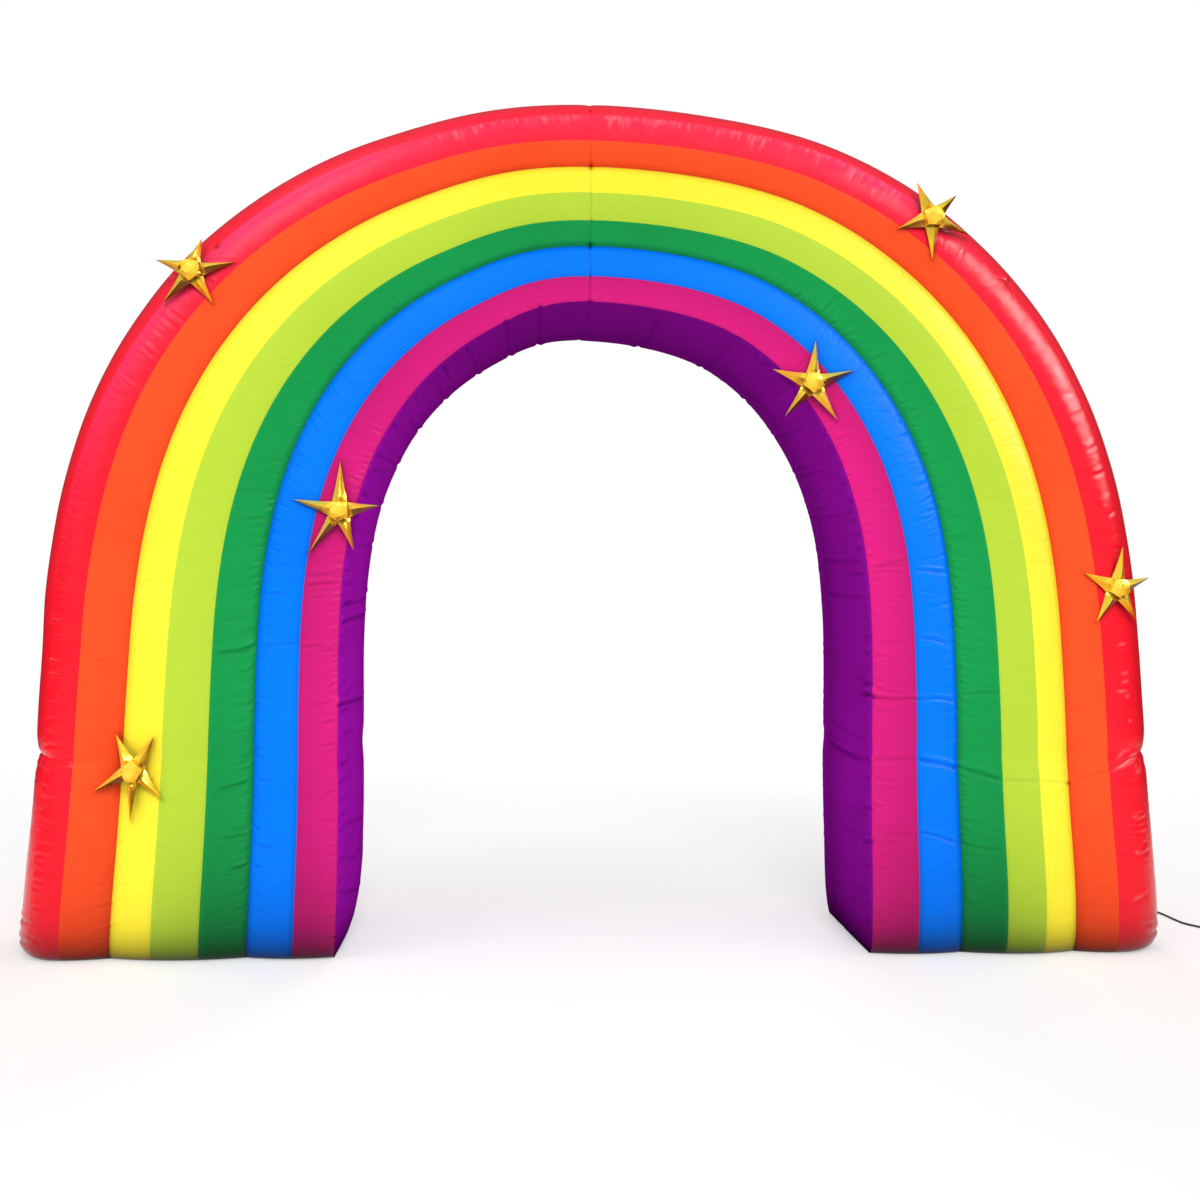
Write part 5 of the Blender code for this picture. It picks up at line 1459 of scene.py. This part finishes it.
def add_bands(finishes):
    for word, side in (("left", -1), ("right", 1)):
        cloth = Cloth(side)
        cloth.finish()
        normals = patch_normals(cloth)
        for number, band in enumerate(BANDS):
            spans = [(number, number + 1), (14 - number, 15 - number)]   # of q, in front and behind
            if band.name == "red":
                spans = [(-2, 1)]
            elif band.name == "purple":
                spans = [(7, 8)]
            sheets = [strip(cloth, normals, *span) for span in spans]
            shell = Shell(side)
            for sheet in sheets:
                shell.grid(*sheet)
            grids = [sheet[0] for sheet in sheets]
            for grid, following in zip(grids, grids[1:] + grids[:1]):
                shell.wall(grid[:, -1], following[:, 0])
            loops = np.concatenate(grids, axis=1)
            shell.cap(loops[0], (0, 0, -1), side < 0)
            shell.cap(loops[-1], (-side, 0, 0), side > 0)
            name, slot = f"{band.name}_{word}", f"{band.name}_cloth"
            mesh = shell.mesh(f"{name}_cloth")
            made = add_piece(f"{name}_cloth", mesh, finishes[band.name], name)


# ------------------------------------------------------------------ foil stars
# Where each hub is, then its points' directions (degrees anticlockwise from +X, going clockwise from
# the top point), how far each reaches, and how deeply each is pinched where it joins the hub.
Star = namedtuple("Star", "name x z angles reaches pinches")
STARS = (
    Star("star_rim_left", -1.038, 1.722, (74, 14, -57, -132, -197), (0.085, 0.108, 0.092, 0.107, 0.093),
         (0.3, 0.9, 0.9, 0.6, 1.0)),
    Star("star_rim_right", 0.816, 1.896, (113, 43, -22, -88, -162), (0.099, 0.089, 0.107, 0.105, 0.092),
         (0.7, 0.9, 1.0, 0.5, 0.4)),
    Star("star_inner_right", 0.512, 1.471, (85, 18, -54, -129, -199), (0.110, 0.114, 0.112, 0.108, 0.107),
         (0.6, 0.5, 1.0, 1.0, 0.5)),
    Star("star_inner_left", -0.673, 1.134, (90, 9, -70, -126, -194), (0.125, 0.099, 0.104, 0.128, 0.118),
         (0.4, 0.9, 1.0, 0.9, 0.4)),
    Star("star_leg_right", 1.307, 0.957, (81, 18, -56, -120, -205), (0.109, 0.092, 0.098, 0.100, 0.092),
         (0.4, 0.6, 0.7, 0.7, 0.3)),
    Star("star_leg_left", -1.173, 0.489, (116, 60, -46, -94, -152), (0.099, 0.097, 0.098, 0.127, 0.111),
         (0.5, 0.8, 0.8, 1.0, 0.7)),
)
STAR_WAIST = 0.030           # radius of the notches between the points
STAR_ROWS = (0.0, 0.10, 0.24, 0.42, 0.60, 0.78, 0.90)          # from a point's base to its tip
STAR_ACROSS = (-1.0, -0.62, -0.30, 0.0, 0.30, 0.62, 1.0)       # from its left edge to its right edge
RIDGE = ((0.0, 0.0250), (0.10, 0.0262), (0.24, 0.0245), (0.42, 0.0200), (0.60, 0.0150), (0.78, 0.0095),
         (0.90, 0.0060), (1.0, 0.0030))
EDGE = ((0.0, 0.0100), (0.24, 0.0085), (0.60, 0.0055), (1.0, 0.0016))
STAR_FALL = (0.0, 0.30, 0.62, 1.0)       # where a point's section bends, from its ridge to its edge
FIRST_FALL = 0.24                        # share of its height that is lost at the first bend,
SECOND_FALL = (0.62, 0.12)               # at the second, this times the side's steepness and this more
STEEPNESS = (0.70, 0.92)                 # of a point's two sides, which differ
TWIST = 0.0012                           # how far a point's edges are twisted up and down
DRAWN_IN = 0.10                          # how much narrower a point is halfway
CRUMPLE = 0.0004                         # unevenness of a point's base, in metres
HUB_HEIGHTS = (0.0315, 0.0350)           # over the notches, and over the middles of the sides
HUB_KEEPS = 0.93                         # its rim, as a share of the ring of the points' bases,
HUB_SPREAD = (-0.03, 0.02)               # and how far that differs
HUB_CRUMPLE = 0.0010
TOP_SHIFT = 0.004                        # how far its top can lie off the middle
# The hub's corners inside its notches and inside its sides: how far out they lie, and how high.
NOTCH_KNEE = (0.55, 0.0385)
SIDE_KNEE = (0.50, 0.0392)
KNEE_SHIFT = 0.0022
KNEE_CRUMPLE = (-0.0010, 0.0008)
BACK_KEEPS = 0.95                        # the flat back, as a share of the outline
STAR_TOP = 0.0405            # height of the hub's middle over the flat back
PINCH = 0.0085               # how deep a fully pinched ridge is beside the hub
PINCH_REACH = 0.13           # share of a point's length that the pinch takes
JOIN_WITHIN = 0.00035
SHARP_ANGLE = 17.0


def on_star(angle, reach):
    """A place on a star, from its middle."""
    return np.array([reach * cos(radians(angle)), reach * sin(radians(angle))])


class Foil:
    """One star's points and faces: a flat back, five ridged cones and a raised, faceted hub."""

    def __init__(self, star, back):
        self.star, self.back = star, back
        self.dice = np.random.default_rng(int(1000 * abs(star.x)))
        self.points, self.faces = [], []
        self.notches = []
        for k in range(5):
            before = star.angles[k - 1] if k else star.angles[4] + 360
            self.notches.append(on_star((star.angles[k] + before) / 2, STAR_WAIST))

    def lay(self, flat, height):
        """Adds a point at a height over the star's flat back, and returns its number."""
        x, z = self.star.x + flat[0], self.star.z + flat[1]
        self.points.append((x, self.back - max(height, 0.0), z))
        return len(self.points) - 1

    def flat(self, number):
        """Where a point lies from the star's middle, seen from the front."""
        return np.array(self.points[number])[[0, 2]] - (self.star.x, self.star.z)

    def cone(self, k):
        """The rows of one point, base first; returns its base row and its outline."""
        star = self.star
        tip = on_star(star.angles[k], star.reaches[k])
        first, last = self.notches[k], self.notches[(k + 1) % 5]
        steepness = self.dice.uniform(*STEEPNESS, 2)
        twist = self.dice.uniform(-TWIST, TWIST)
        rows = []
        for share in STAR_ROWS:
            ridge = np.interp(share, *zip(*RIDGE))
            edge = np.interp(share, *zip(*EDGE))
            pinch = PINCH * star.pinches[k] * max(0.0, 1 - share / PINCH_REACH)
            row = []
            for u in STAR_ACROSS:
                narrow = 1 - DRAWN_IN * np.sin(pi * share)
                middle = between(first, last, 0.5)
                base = between(middle, between(first, last, (u + 1) / 2), narrow)
                steep = SECOND_FALL[0] * steepness[0 if u < 0 else 1] + SECOND_FALL[1]
                fall = np.interp(abs(u), STAR_FALL, (0.0, FIRST_FALL, steep, 1.0))
                height = between(ridge - pinch, edge, fall)
                crumple = self.dice.uniform(-CRUMPLE, CRUMPLE) * (1 - share)
                row.append(self.lay(between(base, tip, share), height + crumple + twist * u * share))
            rows.append(row)
        end = self.lay(tip, RIDGE[-1][1])
        for near, far in zip(rows, rows[1:]):
            for m in range(len(near) - 1):
                self.faces.append((near[m], near[m + 1], far[m + 1], far[m]))
        for m in range(len(rows[-1]) - 1):
            self.faces.append((rows[-1][m], rows[-1][m + 1], end))
        outline = [row[0] for row in rows] + [end] + [row[-1] for row in rows[::-1]]
        return rows[0], outline

    def hub(self, base):
        """Steep walls up from the points' bases, then facets to an uneven top."""
        count = len(base)
        rim = []
        for m in range(count):
            flat = self.flat(base[m])
            over = abs(STAR_ACROSS[m % (len(STAR_ACROSS) - 1)])
            height = between(HUB_HEIGHTS[1], HUB_HEIGHTS[0], over)
            keep = HUB_KEEPS + self.dice.uniform(*HUB_SPREAD)
            rim.append(self.lay(flat * keep, height + self.dice.uniform(-HUB_CRUMPLE, HUB_CRUMPLE)))
        top = self.lay(self.dice.uniform(-TOP_SHIFT, TOP_SHIFT, 2), STAR_TOP)
        knees = []
        for k in range(5):
            notch, side = self.notches[k], (self.notches[k] + self.notches[(k + 1) % 5]) / 2
            for flat, (out, height) in ((notch, NOTCH_KNEE), (side, SIDE_KNEE)):
                moved = flat * out + self.dice.uniform(-KNEE_SHIFT, KNEE_SHIFT, 2)
                knees.append(self.lay(moved, height + self.dice.uniform(*KNEE_CRUMPLE)))
        for m in range(count):
            n = (m + 1) % count
            self.faces.append((base[n], base[m], rim[m], rim[n]))
        each = count // 5
        for k in range(5):
            a, b, c = knees[2 * k], knees[2 * k + 1], knees[(2 * k + 2) % 10]
            ring = [rim[(k * each + m) % count] for m in range(each + 1)]
            half = each // 2
            for m in range(half):
                self.faces.append((ring[m + 1], ring[m], a))
            self.faces.append((ring[half], a, b))
            self.faces.append((ring[half], b, c))
            for m in range(half, each):
                self.faces.append((ring[m + 1], ring[m], c))
            self.faces.append((a, top, b))
            self.faces.append((b, top, c))

    def mesh(self):
        """All five points, the hub and the back, as one closed mesh."""
        base, outline = [], []
        for k in range(5):
            row, edge = self.cone(k)
            base += row[:-1]
            outline += edge[:-1]
        self.hub(base)
        under = []
        for m in outline:
            under.append(self.lay(self.flat(m) * BACK_KEEPS, 0.0))
        count = len(outline)
        for m in range(count):
            n = (m + 1) % count
            self.faces.append((outline[m], outline[n], under[n], under[m]))
        self.faces.append(tuple(under[::-1]))
        mesh = bpy.data.meshes.new(self.star.name + "_foil")
        mesh.from_pydata(self.points, [], self.faces)
        built = bmesh.new()
        built.from_mesh(mesh)
        bmesh.ops.remove_doubles(built, verts=built.verts, dist=JOIN_WITHIN)
        bmesh.ops.recalc_face_normals(built, faces=built.faces)
        built.to_mesh(mesh)
        built.free()
        mesh.shade_smooth()
        mesh.set_sharp_from_angle(angle=radians(SHARP_ANGLE))
        return mesh


def add_stars(finish):
    for star in STARS:
        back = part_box(star.name)[1].y
        add_piece(star.name + "_foil", Foil(star, back).mesh(), finish, star.name)


# ------------------------------------------------------------------ cloth
# Colours of the cloth, how rough and how glossy it is, and how far its slow ripples stand out.
Dye = namedtuple("Dye", "name colour deep rough gloss ripple")
DYES = (
    Dye("red", (250, 22, 42), (230, 10, 30), 0.145, 0.20, 0.0007),
    Dye("orange", (255, 82, 38), (240, 66, 26), 0.38, 0.08, 0.0016),
    Dye("yellow", (252, 236, 58), (248, 222, 32), 0.30, 0.10, 0.0012),
    Dye("lime", (183, 213, 58), (168, 199, 46), 0.36, 0.12, 0.0016),
    Dye("green", (18, 158, 76), (10, 134, 62), 0.34, 0.10, 0.0020),
    Dye("blue", (0, 124, 255), (0, 106, 236), 0.36, 0.06, 0.0020),
    Dye("magenta", (222, 28, 128), (192, 22, 110), 0.34, 0.10, 0.0020),
    Dye("purple", (146, 16, 154), (126, 12, 136), 0.40, 0.0, 0.0020),
)


PALE_DYES = ("orange", "yellow", "lime")     # their painted shade along seams and creases stays lighter


def cloth_colour(made, dye, where, mottle):
    """The dye, a little uneven, then the painted sheen, painted shade and painted highlights that the
    mesh's own marks carry.
    """
    plain, deep = rgb(*dye.colour), rgb(*dye.deep)
    cloudy = made.noise(where, 2.6, 3.0, 0.55)
    colour = made.mix(made.spread(cloudy, 0.35, 0.75), plain, deep)
    colour = made.mix(0.35, plain, colour)
    colour = made.mix(made.maths("MULTIPLY", made.spread(mottle, 0.55, 0.85), 0.22), colour, deep)
    # painted sheen on the red: pinker higher up, and pinker still along the rim's painted sheen
    if dye.name == "red":
        high = made.spread(made.split(where)["Z"], 1.0, 2.1, 0.0, 0.3)
        colour = made.mix(high, colour, rgb(252, 30, 72))
        painted_sheen = made.maths("MULTIPLY", made.attribute("painted_rim_sheen"), 0.7)
        colour = made.mix(painted_sheen, colour, rgb(255, 62, 116))
    # painted shade along seams, creases and puckers, towards a darker dye, and painted highlights towards
    # a paler one
    shade = made.attribute("painted_shade_and_highlights")
    darkest = 0.5 if dye.name in PALE_DYES else 0.32
    dark = tuple(c * darkest for c in deep[:3]) + (1.0,)
    colour = made.mix(made.maths("MULTIPLY", shade, 0.55, clamp=True), colour, dark)
    pale = tuple(0.45 + 0.55 * c for c in plain[:3]) + (1.0,)
    colour = made.mix(made.maths("MULTIPLY", shade, -0.75, clamp=True), colour, pale)
    # painted light and shade over the whole cloth, multiplied in
    return made.mix(1.0, colour, made.attribute("painted_broad_shading"), "MULTIPLY")


def cloth_normal(made, dye, flat):
    """Slow ripples, fine crinkles that run across the band, and the weave."""
    ripple = made.noise(made.stretched(flat, (26.0, 7.0, 1.0), 0.18), 1.0, 2.0, 0.5, 0.3)
    crinkle = made.noise(made.stretched(flat, (95.0, 20.0, 1.0)), 1.0, 4.0, 0.55, 0.4)
    weave = made.maths("MULTIPLY", made.threads(flat, "X"), made.threads(flat, "Y"))
    return made.bump(weave, 0.00006, made.bump(crinkle, 0.0008, made.bump(ripple, dye.ripple)))


def cloth_material(dye):
    made = Finish(dye.name + "_cloth")
    where = made.coordinates()
    flat = made.coordinates("UV")
    mottle = made.noise(made.stretched(flat, (40.0, 14.0, 1.0)), 1.0, 3.0, 0.6)
    rough = made.spread(mottle, 0.2, 0.8, dye.rough - 0.05, dye.rough + 0.08)
    if dye.name == "red":
        # duller over the rim's width, so that no lamp burns out on it from behind
        dull = made.spread(made.split(where)["Y"], -0.25, -0.08, 0.0, 0.3)
        rough = made.maths("ADD", rough, dull)
    made.shade(
        Base_Color=cloth_colour(made, dye, where, mottle),
        Roughness=rough,
        Specular_IOR_Level=dye.gloss,
        Normal=cloth_normal(made, dye, flat),
    )
    return made.material


# ------------------------------------------------------------------ foil, plastic and metal
def foil_material():
    made = Finish("gold_foil")
    where = made.coordinates()
    crumple = made.noise(where, 20.0, 1.0, 0.4, 0.8)
    fine = made.noise(where, 90.0, 1.0, 0.4)
    # painted light and shade by which way a facet faces: lighter up, to the left and to the front, darker
    # turned away, with crumples adding patches of painted reflection
    facing = made.add("ShaderNodeNewGeometry").outputs["Normal"]
    painted_lighting = made.add("ShaderNodeVectorMath", operation="DOT_PRODUCT")
    made.set(painted_lighting.inputs[0], facing)
    painted_lighting.inputs[1].default_value = (-0.42, -0.42, 0.80)
    patchy = made.maths("MULTIPLY", made.maths("SUBTRACT", crumple, 0.5), 0.6)
    painted_brightness = made.maths("ADD", painted_lighting.outputs["Value"], patchy)
    colour = made.mix(made.spread(painted_brightness, -0.42, 0.02), rgb(112, 58, 2), rgb(246, 176, 14))
    colour = made.mix(made.spread(painted_brightness, 0.0, 0.50), colour, rgb(255, 222, 66))
    made.shade(
        Base_Color=colour,
        Metallic=0.42,
        Roughness=made.spread(fine, 0.2, 0.8, 0.20, 0.28),
        Normal=made.bump(crumple, 0.0009),
    )
    return made.material


def plastic_material(name, light, dark, rough):
    made = Finish(name)
    where = made.coordinates()
    mottle = made.noise(where, 45.0, 3.0, 0.6)
    made.shade(
        Base_Color=made.mix(mottle, rgb(*dark), rgb(*light)),
        Roughness=made.spread(mottle, 0.2, 0.8, rough - 0.06, rough + 0.08),
        Normal=made.bump(made.noise(where, 1400.0, 2.0, 0.5), 0.00015),
    )
    return made.material


def brass_material():
    made = Finish("blade_brass")
    where = made.coordinates()
    brushed = made.noise(made.stretched(where, (40.0, 900.0, 900.0)), 1.0, 2.0, 0.5)
    made.shade(
        Base_Color=made.mix(brushed, rgb(196, 178, 132), rgb(222, 208, 170)),
        Metallic=1.0,
        Roughness=made.spread(brushed, 0.2, 0.8, 0.22, 0.36),
        Normal=made.bump(brushed, 0.00003),
    )
    return made.material


def refinish(name, finish):
    """Gives a CAD node that stays a better finish."""
    for held in nodes[name].material_slots:
        held.material = finish


# ------------------------------------------------------------------ floor, sky and lights
def add_floor():
    """A pale floor that fades out some metres away from the arch."""
    built = bmesh.new()
    bmesh.ops.create_grid(built, x_segments=2, y_segments=2, size=60.0)
    mesh = bpy.data.meshes.new("floor")
    built.to_mesh(mesh)
    built.free()
    made = Finish("floor_paint")
    faint = made.noise(made.coordinates(), 1.5, 2.0, 0.5)
    made.shade(
        Base_Color=made.mix(faint, rgb(206, 206, 206), rgb(210, 210, 210)),
        Roughness=0.9,
        Specular_IOR_Level=0.0,
        Emission_Color=(1.0, 1.0, 1.0, 1.0),
        Emission_Strength=0.42,
    )
    reach = made.add("ShaderNodeVectorMath", operation="LENGTH")
    made.set(reach.inputs[0], made.coordinates())
    clear = made.add("ShaderNodeBsdfTransparent")
    edge = made.add("ShaderNodeMixShader")
    made.set(edge.inputs[0], made.spread(reach.outputs["Value"], 2.4, 5.0))
    made.set(edge.inputs[1], made.shader.outputs[0])
    made.set(edge.inputs[2], clear.outputs[0])
    made.set(made.output.inputs["Surface"], edge.outputs[0])
    mesh.materials.append(made.material)
    floor = bpy.data.objects.new("floor", mesh)
    floor.location = (0, 0, -0.0004)
    scene.collection.objects.link(floor)


def add_light(name, at, towards, size, watts, on, size_y=None, along=(0.0, 0.0, 1.0)):
    """An area light on the cloth's and foil's plain colour, or on their gloss alone."""
    data = bpy.data.lights.new(name, "AREA")
    data.energy = watts
    data.size = size
    if size_y is not None:
        data.shape = "RECTANGLE"
        data.size_y = size_y
    made = bpy.data.objects.new(name, data)
    made.visible_diffuse = on == "colour"
    made.visible_glossy = on == "gloss"
    scene.collection.objects.link(made)
    at, towards = Vector(at), Vector(towards)
    back = (at - towards).normalized()
    across = Vector(along).cross(back).normalized()
    turned = Matrix((across, back.cross(across), back)).transposed().to_4x4()
    made.matrix_world = Matrix.Translation(at) @ turned


def add_sky():
    """Plain white where the camera sees it; a grey dome, dark below and behind, in reflections."""
    sky = bpy.data.worlds.new("sky")
    sky.use_nodes = True
    made = Tree(sky.node_tree)
    made.tree.nodes.clear()
    way = made.split(made.coordinates("Generated"))
    height = made.spread(way["Z"], 0.0, 0.8, 0.10, 0.76, "LINEAR")
    behind = made.spread(way["Y"], -0.2, 0.5, 1.0, 0.25, "LINEAR")
    front = made.spread(way["Y"], -0.35, -0.9, 0.0, 0.55, "LINEAR")
    dome = made.add("ShaderNodeBackground")
    made.set(dome.inputs["Color"], made.maths("ADD", made.maths("MULTIPLY", height, behind), front))
    seen = made.add("ShaderNodeBackground")
    seen.inputs["Color"].default_value = (1.0, 1.0, 1.0, 1.0)
    blend = made.add("ShaderNodeMixShader")
    made.set(blend.inputs[0], made.add("ShaderNodeLightPath").outputs["Is Camera Ray"])
    made.set(blend.inputs[1], dome.outputs[0])
    made.set(blend.inputs[2], seen.outputs[0])
    made.set(made.add("ShaderNodeOutputWorld").inputs[0], blend.outputs[0])
    scene.world = sky


def add_lights():
    add_sky()
    middle = (0, 0, 1.0)
    add_light("key", (0.5, -7.8, 6.0), middle, 2.6, 302.0, "colour")
    add_light("fill", (-6.2, -4.4, 2.8), middle, 3.6, 125.0, "colour")
    add_light("side", (6.4, -4.0, 2.8), middle, 3.6, 42.0, "colour")
    add_light("back", (1.0, 6.5, 4.6), middle, 3.0, 190.0, "colour")
    # a long, narrow lamp for the streak on the right shoulder, then three for softer highlights
    add_light(
        "shoulder", (3.95, -1.86, 3.32), (1.05, -0.29, 1.6), 0.06, 240.0, "gloss",
        size_y=3.1, along=(-2.08, -2.28, 1.96),
    )
    add_light("left", (-2.0, -0.3, 4.7), (-0.7, -0.28, 2.0), 1.2, 4.0, "gloss")
    add_light("top", (0.5, -1.2, 5.6), (0.1, -0.3, 2.1), 1.2, 5.0, "gloss")
    add_light("sparkle", (-2.6, -3.6, 4.4), (0, -0.3, 1.2), 1.0, 44.0, "gloss")


# ------------------------------------------------------------------ the whole
def main():
    scene.view_settings.view_transform = "Standard"
    add_camera()
    rubber = lead_material()
    add_lead(rubber)
    add_bands({dye.name: cloth_material(dye) for dye in DYES})
    foil = foil_material()
    add_stars(foil)
    refinish("blower_housing", plastic_material("housing_plastic", (46, 46, 49), (34, 34, 37), 0.5))
    guard = plastic_material("guard_plastic", (28, 28, 30), (18, 18, 20), 0.45)
    refinish("blower_guard", guard)
    refinish("strain_relief", guard)
    refinish("plug_body", rubber)
    brass = brass_material()
    refinish("plug_blade_left", brass)
    refinish("plug_blade_right", brass)
    add_floor()
    add_lights()


main()
